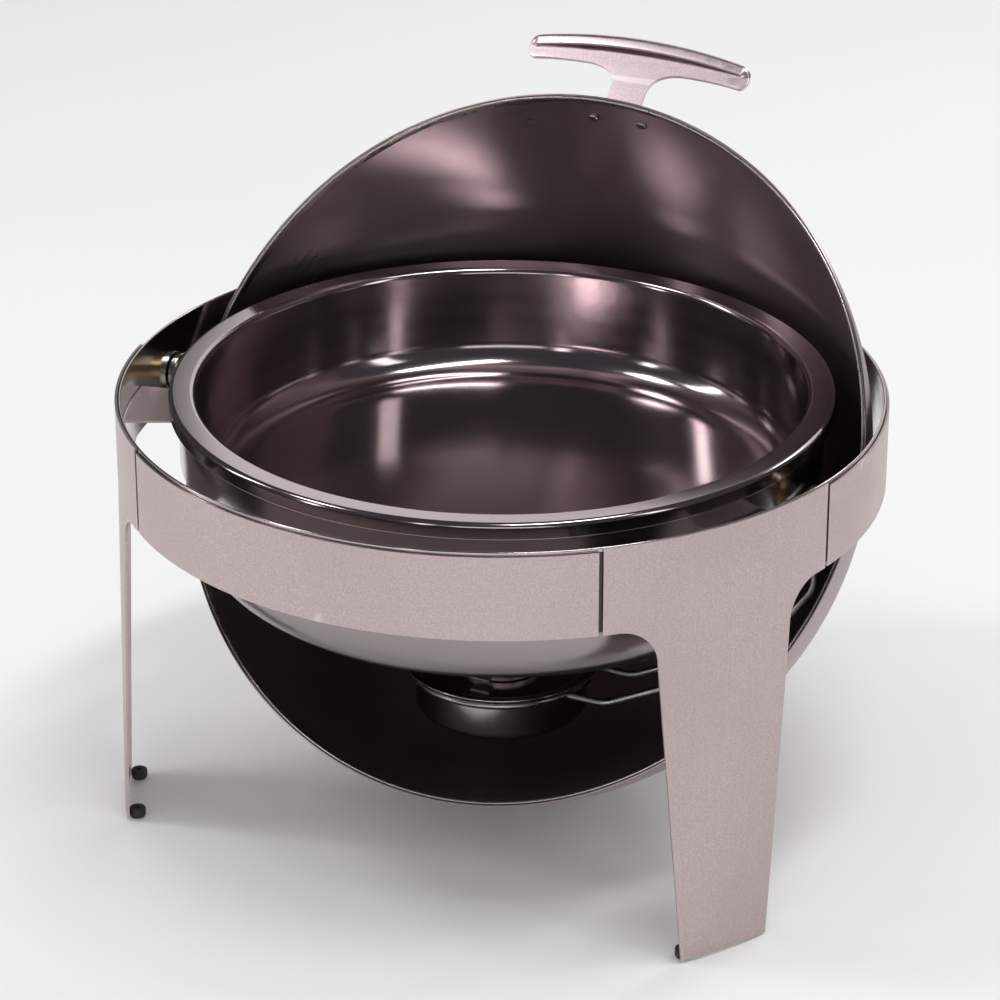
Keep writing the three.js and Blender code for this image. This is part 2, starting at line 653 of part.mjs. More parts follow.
// A short cylinder along X, centred on the snuffer's hinge line.
function onHinge(radius, from, to, segments = RIVET_SEGMENTS) {
  return alongX(drum(radius, from, to, segments), 1).translate(0, HINGE_REACH, HINGE_HEIGHT);
}

function burnerCover() {
  const top = COVER_BOTTOM + COVER_SHEET;
  const disc = drum(CUP_RADIUS - 1.2 - GAP - 0.2, COVER_BOTTOM, top, BURNER_SEGMENTS, CAN_MOUTH - 2);
  const height = HINGE_HEIGHT - COVER_BOTTOM;
  const lugs = [-1, 1].flatMap((side) => {
    const middle = side * (LUG_INSIDE + LUG_SHEET / 2);
    const web = new THREE.BoxGeometry(LUG_SHEET, 2 * KNUCKLE_RADIUS, height);
    web.translate(middle, HINGE_REACH, HINGE_HEIGHT - height / 2);
    return [web, onHinge(KNUCKLE_RADIUS, middle - LUG_SHEET / 2, middle + LUG_SHEET / 2)];
  });
  return cut(join(disc, ...lugs), onHinge(HINGE_BORE, -LUG_INSIDE - 4, LUG_INSIDE + 4));
}

// The snuffer cap covers the can's mouth and flips up on a pin behind it.
function snuffer() {
  const bottom = COVER_BOTTOM + COVER_SHEET + 0.5;
  const top = bottom + 4.5;
  const sheet = 1.2;
  const cap = turned([
    point(0, top - sheet), point(SNUFFER_RADIUS - sheet, top - sheet),
    point(SNUFFER_RADIUS - sheet, bottom), point(SNUFFER_RADIUS, bottom),
    point(SNUFFER_RADIUS, top - 1), point(SNUFFER_RADIUS - 1, top), point(0, top),
  ], BURNER_SEGMENTS);
  const knuckle = LUG_INSIDE - GAP;
  const strapFrom = SNUFFER_RADIUS - 2;
  const strap = new THREE.BoxGeometry(2 * knuckle, HINGE_REACH - strapFrom, sheet);
  strap.translate(0, (HINGE_REACH + strapFrom) / 2, HINGE_HEIGHT);
  const barrel = onHinge(KNUCKLE_RADIUS, -knuckle, knuckle);
  const tab = new THREE.BoxGeometry(12, 8, sheet).translate(0, -SNUFFER_RADIUS - 2.5, top - 2);
  const body = cut(join(cap, strap, barrel, tab), onHinge(HINGE_BORE, -knuckle - 1, knuckle + 1));
  const head = LUG_INSIDE + LUG_SHEET + GAP;
  const pin = turned([
    point(0, -head - 1.2), point(2.6, -head - 1.2), point(2.6, -head), point(HINGE_PIN, -head),
    point(HINGE_PIN, head), point(2.6, head), point(2.6, head + 1.2), point(0, head + 1.2),
  ], RIVET_SEGMENTS);
  alongX(pin, 1).translate(0, HINGE_REACH, HINGE_HEIGHT);
  return [piece('snuffer_cap', body, satinSteel()), piece('snuffer_pin', pin, brightSteel())];
}

const chafer = new THREE.Group();
chafer.add(hoop(), ...panels(), ...legs(), ...feet(), carrier(), ...shelves(), ...bumpers(), ...pivots());
chafer.add(lid(), waterPan(), foodPan(), ...cradle(), ...burner(), ...snuffer());

// The back leg's splay reaches further than the front panel, so this puts the origin under the middle.
chafer.position.y = -LEG_SPLAY / 2;

export default chafer;
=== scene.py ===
"""The looks of a round roll-top chafer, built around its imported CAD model.

Shapes are written in millimetres in a frame of their own and become metres in the row frame when a mesh is
made, so every object sits at the origin. A material's grain is laid out in its piece's own frame.
"""

import json
import math

import bmesh
import bpy
from mathutils import Matrix, Vector


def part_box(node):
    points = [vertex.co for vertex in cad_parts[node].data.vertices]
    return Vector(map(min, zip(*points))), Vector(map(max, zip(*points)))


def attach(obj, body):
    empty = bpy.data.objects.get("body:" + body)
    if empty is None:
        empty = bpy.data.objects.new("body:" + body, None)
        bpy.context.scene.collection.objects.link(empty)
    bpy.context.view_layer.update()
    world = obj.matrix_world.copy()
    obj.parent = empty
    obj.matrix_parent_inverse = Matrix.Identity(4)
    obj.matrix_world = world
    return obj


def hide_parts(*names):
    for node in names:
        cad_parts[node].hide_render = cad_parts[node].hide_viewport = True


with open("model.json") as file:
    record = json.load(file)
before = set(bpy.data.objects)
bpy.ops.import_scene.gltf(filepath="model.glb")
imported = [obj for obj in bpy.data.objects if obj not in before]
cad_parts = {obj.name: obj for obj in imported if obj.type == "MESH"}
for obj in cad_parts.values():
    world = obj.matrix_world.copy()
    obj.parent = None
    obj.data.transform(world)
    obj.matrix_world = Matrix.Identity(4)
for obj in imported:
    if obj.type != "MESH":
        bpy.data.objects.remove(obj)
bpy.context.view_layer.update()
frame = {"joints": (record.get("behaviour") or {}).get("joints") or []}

MM = 0.001
SIDES = (("left", -1), ("right", 1))


# ---- measures from the frame

def box_mm(node):
    """Lowest and highest corner of a CAD node, in millimetres."""
    low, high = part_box(node)
    return low / MM, high / MM


def reach(node):
    """Half the width of a CAD node, which for a round one is its radius."""
    low, high = box_mm(node)
    return (high.x - low.x) / 2


joints = {j["name"]: j for j in frame["joints"]}
pivot = Vector(joints["lid_roll"]["pos_m"]) / MM
open_angle = math.radians(joints["lid_roll"]["range_deg"][0])
snuffer_hinge = Vector(joints["snuffer_flip"]["pos_m"]) / MM
axis_y = pivot.y

BAND_RADIUS = box_mm("panel_right")[1].x
BAND_TOP = box_mm("hoop")[1].z
BAND_BOTTOM = box_mm("panel_front")[0].z
PANEL_TOP = box_mm("panel_front")[1].z
HOOP_RADIUS = reach("hoop")
HOOP_BOTTOM = box_mm("hoop")[0].z
CARRIER_RADIUS = reach("carrier_ring")
LEG_BOTTOM = box_mm("leg_right")[0].z

# Sheet thicknesses and the details that a box doesn't give.
SHEET = 1.5
PAN_SHEET = 1.2
SEAM = 2.4
LEG_ANGLE = 60
LEG_TOP_HALF_SPAN = 19.6
LEG_FILLET = 23
LEG_SHOULDER_HALF_WIDTH = 45
LEG_FOOT_HALF_WIDTH = 29
LEG_SPLAY = 4.5
LID_SHEET = 1.3
LID_RIM_OFFSET = 20
LID_RADIUS = math.hypot(reach("lid_dome"), LID_RIM_OFFSET)
HEM_WIDTH = 6
EAR_SHEET = 2
EAR_RADIUS = 11
EAR_HALF_WIDTH = 12
EAR_LENGTH = 40
EAR_RIVET_HEIGHT = 32
EAR_RIVET_SPREAD = 7
HANDLE_ANGLE = 12.5
HANDLE_REACH = 52
HANDLE_SHEET = 2.6
HANDLE_CURL_GAP = 3.2
HANDLE_CURL_LIP = 4
HANDLE_BAR_DEPTH = 16
HANDLE_BAR_BOW = 5
HANDLE_STEM_WIDTH = 23
HANDLE_RIVET_SPREAD = 16
SHELF_FRONT_ANGLE = 63.5
PIVOT_SHANK = 3.9
PIVOT_BORE = 4.2
BUSH_RADIUS = 7
NUT_CORNER_RADIUS = 8
NUT_BORE = 4.9
RIVET_SHANK = 2.1
RIVET_HOLE = 2.4
WIRE_RADIUS = 2.4
BURNER_SHEET = 1.2
BARREL_RADIUS = 3

# How many sides a round piece is drawn with, from the band down to the snuffer's pin.
LARGE_ROUND = 240
BURNER_ROUND = 128
CAN_ROUND = 96
PIVOT_ROUND = 64
BUTTON_ROUND = 48
RIVET_ROUND = 40
PIN_ROUND = 32

# Where pieces are drawn: each matrix turns a piece's own frame, in metres, into the row frame.
place = Matrix.Translation
turn = Matrix.Rotation
CENTRE = place((0, axis_y * MM, 0))
LID = place(pivot * MM) @ turn(open_angle, 4, "X")
HANDLE = LID @ turn(math.pi - math.radians(HANDLE_ANGLE), 4, "X")
SNUFFER_HINGE = place(snuffer_hinge * MM)


def along_x(side, base=None, y=0, z=0):
    """A frame whose Z axis points away from the middle along X, on one side."""
    base = place(pivot * MM) if base is None else base
    return base @ place((0, y * MM, z * MM)) @ turn(side * math.pi / 2, 4, "Y")


# ---- lines and outlines

def on_arc(centre, radius, start, end, steps):
    """Points on an arc in the plane, angles in degrees from +X."""
    turns = [math.radians(start + (end - start) * i / steps) for i in range(steps + 1)]
    return [Vector((centre[0] + radius * math.cos(t), centre[1] + radius * math.sin(t))) for t in turns]


def rounded(corners, steps=6, closed=False):
    """A line in two or three dimensions whose corners, each (coordinates, radius), become arcs."""
    points = [Vector(c[:-1]) for c in corners]
    made = []
    for i, corner in enumerate(points):
        radius = corners[i][-1]
        if radius <= 0 or (not closed and i in (0, len(points) - 1)):
            made.append(corner)
            continue
        back = (points[i - 1] - corner).normalized()
        ahead = (points[(i + 1) % len(points)] - corner).normalized()
        half = back.angle(ahead) / 2
        if half > math.pi / 2 - 1e-3:
            made.append(corner)
            continue
        centre = corner + (back + ahead).normalized() * (radius / math.sin(half))
        start = corner + back * (radius / math.tan(half)) - centre
        end = corner + ahead * (radius / math.tan(half)) - centre
        sweep = start.angle(end)
        for k in range(steps + 1):
            t = k / steps
            near, far = math.sin((1 - t) * sweep), math.sin(t * sweep)
            made.append(centre + (start * near + end * far) / math.sin(sweep))
    return made


def ring_outline(bore, radius, start, end, bore_edge=0.2, outer_edge=0.4):
    """The closed outline of a turned ring or barrel with eased edges."""
    corners = [(bore, start, bore_edge), (radius, start, outer_edge), (radius, end, outer_edge),
               (bore, end, bore_edge)]
    return rounded(corners, 3, True)


def round_hole(centre, radius, sides):
    """A full turn of points, without the first one again at its end."""
    return on_arc(centre, radius, 360, 360 / sides, sides - 1)


def sheet_outline(line, thickness):
    """The closed outline of bent sheet that follows a line: round at a free end, cut off on the axis."""
    half = thickness / 2
    cap_steps = 6
    left, right = [], []
    for i, p in enumerate(line):
        before = (p - line[i - 1]).normalized() if i else None
        after = (line[i + 1] - p).normalized() if i < len(line) - 1 else None
        along = ((before or after) + (after or before)).normalized()
        widen = 1 / max(0.3, along.dot(after or before))
        normal = Vector((-along.y, along.x)) * half * widen
        left.append(p + normal)
        right.append(p - normal)

    def cap(p, side, ahead):
        if p.x < 1e-6:
            return []
        start = math.atan2(side.y, side.x)
        turns = [start - ahead * math.pi * k / cap_steps for k in range(1, cap_steps)]
        return [p + Vector((math.cos(t), math.sin(t))) * half for t in turns]

    end_cap = cap(line[-1], left[-1] - line[-1], 1)
    start_cap = cap(line[0], right[0] - line[0], 1)
    outline = left + end_cap + right[::-1] + start_cap
    return [Vector((0.0, p.y)) if abs(p.x) < 1e-4 else p for p in outline]


# ---- mesh code

def lathe(outline, segments):
    """Turns a closed (radius, height) outline around Z."""
    verts, rings, faces = [], [], []
    for radius, height in outline:
        first = len(verts)
        count = 1 if radius < 1e-6 else segments
        turns = [2 * math.pi * i / segments for i in range(count)]
        verts += [(radius * math.sin(t), -radius * math.cos(t), height) for t in turns]
        rings.append(range(first, first + count))
    for a, b in zip(rings, rings[1:] + rings[:1]):
        if len(a) == 1 and len(b) == 1:
            continue
        for i in range(segments):
            j = (i + 1) % segments
            ring = (a[i % len(a)], a[j % len(a)], b[j % len(b)], b[i % len(b)])
            faces.append(tuple(dict.fromkeys(ring)))
    return verts, faces


def rolled_sheet(rows, columns, thickness):
    """Sheet rolled around Z. Each row is a height, an outer radius and two edge angles in degrees."""
    verts, faces = [], []
    width = columns + 1
    for inset in (0, thickness):
        for height, radius, start, end in rows:
            for i in range(width):
                t = math.radians(start + (end - start) * i / columns)
                verts.append(((radius - inset) * math.sin(t), -(radius - inset) * math.cos(t), height))
    inner = len(rows) * width
    for r in range(len(rows) - 1):
        for i in range(columns):
            a = r * width + i
            quad = (a, a + 1, a + width + 1, a + width)
            faces.append(quad)
            faces.append(tuple(inner + k for k in reversed(quad)))
    edge = list(range(width))
    edge += [r * width + columns for r in range(1, len(rows))]
    edge += [(len(rows) - 1) * width + i for i in range(columns - 1, -1, -1)]
    edge += [r * width for r in range(len(rows) - 2, 0, -1)]
    for a, b in zip(edge, edge[1:] + edge[:1]):
        faces.append((a, inner + a, inner + b, b))
    return verts, faces


def tube(points, radius, sides=16, dome_steps=3, closed=False):
    """Round wire along a line, with domed ends."""
    verts, rings, faces = [], [], []
    count = len(points)
    tangents = []
    for i, p in enumerate(points):
        ahead = points[(i + 1) % count] if closed or i < count - 1 else p
        behind = points[i - 1] if closed or i else p
        tangents.append((ahead - behind).normalized())
    up = tangents[0].orthogonal().normalized()
    stations = []
    for i, p in enumerate(points):
        if i:
            up = tangents[i - 1].rotation_difference(tangents[i]) @ up
        stations.append((p, tangents[i], up, radius))
    if not closed:
        turns = [math.pi / 2 * k / (dome_steps + 1) for k in range(1, dome_steps + 1)]

        def dome(station, way):
            p, along, across, _ = station
            return [(p + along * way * radius * math.sin(t), along, across, radius * math.cos(t))
                    for t in turns]

        stations = dome(stations[0], -1)[::-1] + stations + dome(stations[-1], 1)
    for p, along, across, size in stations:
        other = along.cross(across)
        turns = [2 * math.pi * k / sides for k in range(sides)]
        rings.append(range(len(verts), len(verts) + sides))
        verts += [p + (across * math.cos(t) + other * math.sin(t)) * size for t in turns]
    pairs = list(zip(rings, rings[1:]))
    if closed:
        pairs.append((rings[-1], rings[0]))
    for a, b in pairs:
        faces += [(a[k], a[(k + 1) % sides], b[(k + 1) % sides], b[k]) for k in range(sides)]
    if not closed:
        faces += [tuple(reversed(rings[0])), tuple(rings[-1])]
    return verts, faces


def plate(outline, thickness, holes=(), edge=0.35):
    """A flat plate in XY, centred on Z = 0, with rounded edges and holes."""
    curve = bpy.data.curves.new("outline", "CURVE")
    curve.dimensions = "2D"
    curve.fill_mode = "BOTH"
    curve.extrude = thickness / 2 - edge
    curve.bevel_depth = edge
    curve.bevel_resolution = 2
    curve.offset = -edge
    for loop in (outline, *holes):
        spline = curve.splines.new("POLY")
        spline.points.add(len(loop) - 1)
        spline.use_cyclic_u = True
        for point, p in zip(spline.points, loop):
            point.co = (p[0], p[1], 0, 1)
    stand_in = bpy.data.objects.new("outline", curve)
    bpy.context.scene.collection.objects.link(stand_in)
    mesh = bpy.data.meshes.new_from_object(stand_in.evaluated_get(bpy.context.evaluated_depsgraph_get()))
    bpy.data.objects.remove(stand_in)
    bpy.data.curves.remove(curve)
    made = [tuple(v.co) for v in mesh.vertices], [tuple(p.vertices) for p in mesh.polygons]
    bpy.data.meshes.remove(mesh)
    return made


def merged(*shapes):
    """Several shapes as one list of vertices and faces."""
    verts, faces = [], []
    for shape_verts, shape_faces in shapes:
        faces += [tuple(len(verts) + k for k in face) for face in shape_faces]
        verts += list(shape_verts)
    return verts, faces


def moved(shape, matrix):
    """The same shape, turned and shifted by a matrix."""
    verts, faces = shape
    return [matrix @ Vector(v) for v in verts], faces


def piece(name, shape, finish, body, nodes, matrix=CENTRE, bevel=0.0, smooth=40):
    """Makes one piece from millimetre vertices, puts it in place and lets it stand for its CAD nodes.

    A finish is a material and the slot that it belongs to; the slot is not used.
    """
    verts, faces = shape
    material, slot = finish
    mesh = bpy.data.meshes.new(name)
    mesh.from_pydata([matrix @ (Vector(v) * MM) for v in verts], [], faces)
    work = bmesh.new()
    work.from_mesh(mesh)
    bmesh.ops.remove_doubles(work, verts=work.verts, dist=1e-6)
    bmesh.ops.recalc_face_normals(work, faces=work.faces)
    work.to_mesh(mesh)
    work.free()
    mesh.materials.append(material)
    mesh.shade_smooth()
    mesh.set_sharp_from_angle(angle=math.radians(smooth))
    made = bpy.data.objects.new(name, mesh)
    bpy.context.scene.collection.objects.link(made)
    if bevel:
        rounding = made.modifiers.new("rounded edges", "BEVEL")
        rounding.width = bevel * MM
        rounding.segments = 3
        rounding.limit_method = "ANGLE"
        rounding.angle_limit = math.radians(50)
        rounding.use_clamp_overlap = True
    weighted = made.modifiers.new("even shading", "WEIGHTED_NORMAL")
    weighted.keep_sharp = True
    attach(made, body)
    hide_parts(*nodes)
    return made


# ---- materials

class Look:
    """A small builder for one procedural material, laid out in the frame that home gives."""

    def __init__(self, name, base, roughness, metallic=1.0, home=CENTRE):
        self.material = bpy.data.materials.new(name)
        self.material.use_nodes = True
        self.tree = self.material.node_tree
        self.shader = self.tree.nodes["Principled BSDF"]
        self.shader.inputs["Metallic"].default_value = metallic
        self.shader.inputs["Roughness"].default_value = roughness
        self.shader.inputs["Base Color"].default_value = (*base, 1)
        self.row = self.tree.nodes.new("ShaderNodeTexCoord").outputs["Object"]
        self.home = home
        inputs = {"Vector": self.row, "Location": home.to_translation(), "Rotation": home.to_euler()}
        self.place = self.add("Mapping", inputs, vector_type="TEXTURE").outputs[0]

    def add(self, kind, inputs, **settings):
        node = self.tree.nodes.new("ShaderNode" + kind)
        for key, value in settings.items():
            setattr(node, key, value)
        for socket, value in inputs.items():
            if isinstance(value, bpy.types.NodeSocket):
                self.tree.links.new(value, node.inputs[socket])
            else:
                node.inputs[socket].default_value = value
        return node

    def noise(self, scale, stretch=(1, 1, 1), angle=0.0, detail=3.0):
        turned = (0, angle, angle)
        spot = self.add("Mapping", {"Vector": self.place, "Rotation": turned, "Scale": stretch}).outputs[0]
        return self.add("TexNoise", {"Vector": spot, "Scale": scale, "Detail": detail}).outputs[0]

    def spun_rings(self, scale):
        """Fine rings around the piece's own axis, as spinning or turning leaves them."""
        inputs = {"Vector": self.place, "Scale": scale, "Distortion": 1.5, "Detail": 2.0, "Detail Scale": 0.6}
        return self.add("TexWave", inputs, wave_type="RINGS", rings_direction="Z").outputs[1]

    def spin(self, anisotropy):
        """Stretches highlights across the rings, as on spun metal."""
        axis = self.home.to_3x3() @ Vector((0, 0, 1))
        centre = self.home.to_translation()
        outward = self.add("VectorMath", {0: self.row, 1: centre}, operation="SUBTRACT").outputs[0]
        around = self.add("VectorMath", {0: axis, 1: outward}, operation="CROSS_PRODUCT").outputs[0]
        tangent = self.add("VectorTransform", {0: around}, vector_type="VECTOR",
                           convert_from="OBJECT", convert_to="WORLD").outputs[0]
        self.tree.links.new(tangent, self.shader.inputs["Tangent"])
        self.shader.inputs["Anisotropic"].default_value = anisotropy
        self.shader.inputs["Anisotropic Rotation"].default_value = 0.25

    def levels(self, value, low, high, to_low=0.0, to_high=1.0):
        inputs = {"Value": value, "From Min": low, "From Max": high, "To Min": to_low, "To Max": to_high}
        return self.add("MapRange", inputs).outputs[0]

    def math(self, operation, a, b):
        return self.add("Math", {0: a, 1: b}, operation=operation).outputs[0]

    def mix(self, factor, a, b):
        node = self.add("Mix", {0: factor}, data_type="RGBA")
        for socket, value in ((6, a), (7, b)):
            if isinstance(value, bpy.types.NodeSocket):
                self.tree.links.new(value, node.inputs[socket])
            else:
                node.inputs[socket].default_value = (*value, 1)
        return node.outputs[2]

    def edges(self):
        """1 on worn convex edges, 0 elsewhere."""
        pointiness = self.add("NewGeometry", {}).outputs["Pointiness"]
        return self.levels(pointiness, 0.52, 0.6)

    def scratches(self, scale, angle):
        """Thin straight lines, few and far between."""
        return self.levels(self.noise(scale, (1, 40, 40), angle, 1.0), 0.75, 0.79)

    def finish(self, colour=None, roughness=None, height=None, depth=0.0001, strength=0.2):
        if colour is not None:
            self.tree.links.new(colour, self.shader.inputs["Base Color"])
        if roughness is not None:
            self.tree.links.new(roughness, self.shader.inputs["Roughness"])
        if height is not None:
            inputs = {"Height": height, "Strength": strength, "Distance": depth}
            normal = self.add("Bump", inputs).outputs[0]
            self.tree.links.new(normal, self.shader.inputs["Normal"])
        return self.material


def shade(colour, factor):
    """A colour made lighter or darker."""
    return tuple(c * factor for c in colour)


def satin_steel(name, base, roughness, stretch, home=CENTRE):
    """Fine satin grain along the axis with the smallest stretch, with handling marks and worn edges."""
    look = Look(name, base, roughness, home=home)
    grain = look.noise(600.0, stretch, detail=4.0)
    speckle = look.noise(1000.0, detail=2.0)
    marks = look.noise(11.0, detail=5.0)
    lines = look.math("MAXIMUM", look.scratches(26.0, 0.5), look.scratches(31.0, -0.9))
    tone = look.mix(look.levels(grain, 0.35, 0.65), shade(base, 0.94), shade(base, 1.03))
    tone = look.mix(look.levels(speckle, 0.4, 0.6, 0.0, 0.8), tone, shade(base, 0.78))
    tone = look.mix(look.levels(marks, 0.42, 0.7, 0.0, 0.35), tone, shade(base, 0.93))
    tone = look.mix(look.edges(), tone, shade(base, 1.22))
    rough = look.levels(grain, 0.3, 0.7, roughness - 0.06, roughness + 0.06)
    rough = look.math("ADD", rough, look.levels(marks, 0.4, 0.7, -0.03, 0.05))
    rough = look.math("SUBTRACT", rough, look.levels(lines, 0.0, 1.0, 0.0, 0.05))
    height = look.math("SUBTRACT", look.math("ADD", grain, look.levels(speckle, 0.0, 1.0, 0.0, 0.5)), lines)
    return look.finish(tone, rough, height, depth=0.00006, strength=0.32), "satin_steel"


def seam_shade_mask(look):
    """1 on the hoop's outer face where the panels cover it, and 0 elsewhere: the mask for the painted shade
    that makes the seams look dark.
    """
    level = look.add("VectorMath", {0: look.place, 1: (1, 1, 0)}, operation="MULTIPLY").outputs[0]
    radius = look.add("VectorMath", {0: level}, operation="LENGTH").outputs["Value"]
    height = look.add("SeparateXYZ", {"Vector": look.place}).outputs["Z"]
    outside = look.math("GREATER_THAN", radius, (HOOP_RADIUS - 0.4) * MM)
    return look.math("MULTIPLY", outside, look.math("LESS_THAN", height, (PANEL_TOP - 0.2) * MM))


def polished_steel(name, base, roughness, spun=260.0, wave=0.6, smear=0.06, anisotropy=0.0, home=CENTRE,
                   painted_shade_mask=None):
    """Mirror-polished sheet: faint spinning rings, a slow waviness, smears and hairline scratches, and
    painted shade where a mask is given.
    """
    look = Look(name, base, roughness, home=home)
    if anisotropy:
        look.spin(anisotropy)
    rings = look.spun_rings(spun)
    smears = look.noise(5.0, detail=3.0)
    slow = look.noise(16.0, detail=1.0)
    lines = look.math("MAXIMUM", look.scratches(22.0, 0.4), look.scratches(34.0, 1.3))
    tone = look.mix(look.levels(smears, 0.4, 0.7), base, shade(base, 0.93))
    tone = look.mix(look.edges(), tone, shade(base, 1.15))
    # Painted shade: where the mask is 1 the colour is darkened nearly to black, standing in for the shade
    # inside the seams.
    if painted_shade_mask:
        tone = look.mix(painted_shade_mask(look), tone, shade(base, 0.12))
    rough = look.levels(smears, 0.35, 0.7, roughness - 0.02, roughness + smear)
    rough = look.math("ADD", rough, look.levels(lines, 0.0, 1.0, 0.0, 0.03))
    rough = look.math("ADD", rough, look.levels(rings, 0.0, 1.0, 0.0, 0.02))
    fine = look.levels(rings, 0.0, 1.0, 0.0, 0.03)
    height = look.math("ADD", fine, look.levels(slow, 0.0, 1.0, 0.0, 6.0 * wave))
    height = look.math("SUBTRACT", height, look.levels(lines, 0.0, 1.0, 0.0, 0.1))
    return look.finish(tone, rough, height, depth=0.00008, strength=0.5), "polished_steel"


def bright_wire(name, base, roughness):
    """Drawn wire and turned hardware, with drawing lines and a little dulling."""
    look = Look(name, base, roughness)
    marks = look.noise(60.0, detail=4.0)
    drawn = look.noise(1800.0, (0.05, 1, 1), detail=2.0)
    tone = look.mix(look.levels(marks, 0.4, 0.65), base, shade(base, 0.8))
    tone = look.mix(look.edges(), tone, shade(base, 1.1))
    rough = look.levels(marks, 0.35, 0.7, roughness - 0.05, roughness + 0.12)
    height = look.math("ADD", marks, drawn)
    return look.finish(tone, rough, height, depth=0.00005, strength=0.25), "bright_steel"


def brass(name):
    """Turned brass with brown tarnish and bright edges."""
    base = (0.58, 0.42, 0.19)
    look = Look(name, base, 0.28)
    tarnish = look.noise(140.0, detail=5.0)
    rings = look.spun_rings(900.0)
    tone = look.mix(look.levels(tarnish, 0.4, 0.66), base, (0.34, 0.22, 0.1))
    tone = look.mix(look.edges(), tone, (0.8, 0.62, 0.32))
    rough = look.levels(tarnish, 0.35, 0.7, 0.22, 0.46)
    return look.finish(tone, rough, rings, depth=0.00004, strength=0.3), "brass"


def tinplate(name):
    """Thin tinplate with its crystal spangle."""
    base = (0.5, 0.49, 0.47)
    look = Look(name, base, 0.34)
    spangle = look.add("TexVoronoi", {"Vector": look.place, "Scale": 130.0}).outputs["Color"]
    patch = look.add("SeparateColor", {"Color": spangle}).outputs[0]
    grime = look.noise(40.0, detail=5.0)
    tone = look.mix(look.levels(patch, 0.0, 1.0, 0.0, 0.6), base, shade(base, 0.78))
    tone = look.mix(look.levels(grime, 0.5, 0.72, 0.0, 0.8), tone, (0.16, 0.14, 0.12))
    rough = look.math("ADD", look.levels(patch, 0.0, 1.0, 0.26, 0.4), look.levels(grime, 0.5, 0.75, 0.0, 0.2))
    return look.finish(tone, rough, grime, depth=0.00008, strength=0.3), "tin"


def moulded_rubber(name):
    """Black rubber with a fine grain and some dust."""
    base = (0.022, 0.021, 0.022)
    look = Look(name, base, 0.72, metallic=0.0)
    grain = look.noise(900.0, detail=3.0)
    dust = look.noise(55.0, detail=5.0)
    tone = look.mix(look.levels(dust, 0.45, 0.75, 0.0, 0.7), base, (0.075, 0.07, 0.066))
    tone = look.mix(look.edges(), tone, (0.06, 0.058, 0.056))
    rough = look.levels(dust, 0.35, 0.7, 0.62, 0.85)
    return look.finish(tone, rough, grain, depth=0.00012, strength=0.4), "black_rubber"


WARM_STEEL = (0.6, 0.5, 0.49)
MIRROR_STEEL = (0.5, 0.45, 0.45)
ROUND_GRAIN = (0.04, 0.04, 1.0)
UPRIGHT_GRAIN = (1.0, 1.0, 0.04)
ACROSS_GRAIN = (0.3, 1.0, 1.0)
band_satin = satin_steel("satin steel band", WARM_STEEL, 0.4, ROUND_GRAIN)
leg_satin = satin_steel("satin steel legs", WARM_STEEL, 0.4, UPRIGHT_GRAIN)
# Painted light: the handle's steel has a much lighter base than the band's, standing in for the light that
# falls on the handle.
handle_satin_painted_light = satin_steel("satin steel handle, painted light", (0.88, 0.73, 0.745), 0.36, ACROSS_GRAIN, HANDLE)
# The hoop's outer face behind the panels carries painted shade, which shows as dark seams.
hoop_mirror = polished_steel("polished hoop, painted seam shade", MIRROR_STEEL, 0.1, painted_shade_mask=seam_shade_mask)
dome_mirror = polished_steel("polished dome", (0.46, 0.37, 0.38), 0.29, spun=180.0, wave=0.1, smear=0.03,
                             anisotropy=0.9, home=LID)
pan_mirror = polished_steel("polished pan", (0.45, 0.385, 0.395), 0.13, spun=200.0, wave=0.4, smear=0.05,
                            anisotropy=0.4)
# Painted shade: the water pan's base is darker than the other polished steel, standing in for the shade it
# lies in under the band.
water_pan_shaded_mirror = polished_steel("polished water pan, painted shade", (0.33, 0.29, 0.285), 0.2, spun=200.0, wave=0.4,
                                  smear=0.04)
burner_mirror = polished_steel("polished burner", MIRROR_STEEL, 0.16, spun=420.0, wave=0.4, smear=0.05)
hem_steel = bright_wire("lid hem", (0.6, 0.56, 0.55), 0.26)
wire_steel = bright_wire("drawn wire", (0.36, 0.34, 0.34), 0.26)
turned_steel = bright_wire("turned hardware", (0.72, 0.7, 0.69), 0.18)
brass_metal = brass("turned brass")
can_tin = tinplate("tinplate can")
rubber = moulded_rubber("moulded rubber")


# ---- band, legs and feet

def make_band():
    """The polished hoop and the three satin panels, with an open seam beside each leg."""
    radius = HOOP_RADIUS - SHEET / 2
    line = [Vector((radius, HOOP_BOTTOM + SHEET / 2)), Vector((radius, BAND_TOP - SHEET / 2))]
    hoop = lathe(sheet_outline(line, SHEET), LARGE_ROUND)
    piece("hoop_sheet", hoop, hoop_mirror, "frame", ["hoop"])
    inset = LEG_TOP_HALF_SPAN + math.degrees(SEAM / BAND_RADIUS)
    heights = [BAND_BOTTOM + (PANEL_TOP - BAND_BOTTOM) * i / 6 for i in range(7)]
    spans = (("front", -LEG_ANGLE, LEG_ANGLE), ("right", LEG_ANGLE, 180), ("left", -180, -LEG_ANGLE))
    for name, start, end in spans:
        rows = [(height, BAND_RADIUS, start + inset, end - inset) for height in heights]
        panel = rolled_sheet(rows, 72, SHEET)
        piece(f"panel_{name}_sheet", panel, band_satin, "frame", [f"panel_{name}"], bevel=0.25)


def leg_half_span(height):
    """Half the leg's width as an angle: a fillet under the band, then a straight taper to the foot."""
    shoulder = BAND_BOTTOM - LEG_FILLET
    if height >= BAND_BOTTOM:
        return LEG_TOP_HALF_SPAN
    if height > shoulder:
        depth = (height - shoulder) / LEG_FILLET
        width = LEG_SHOULDER_HALF_WIDTH + LEG_FILLET * (1 - math.sqrt(1 - depth * depth))
    else:
        taper = (height - LEG_BOTTOM) / (shoulder - LEG_BOTTOM)
        width = LEG_FOOT_HALF_WIDTH + (LEG_SHOULDER_HALF_WIDTH - LEG_FOOT_HALF_WIDTH) * taper
    return math.degrees(width / BAND_RADIUS)


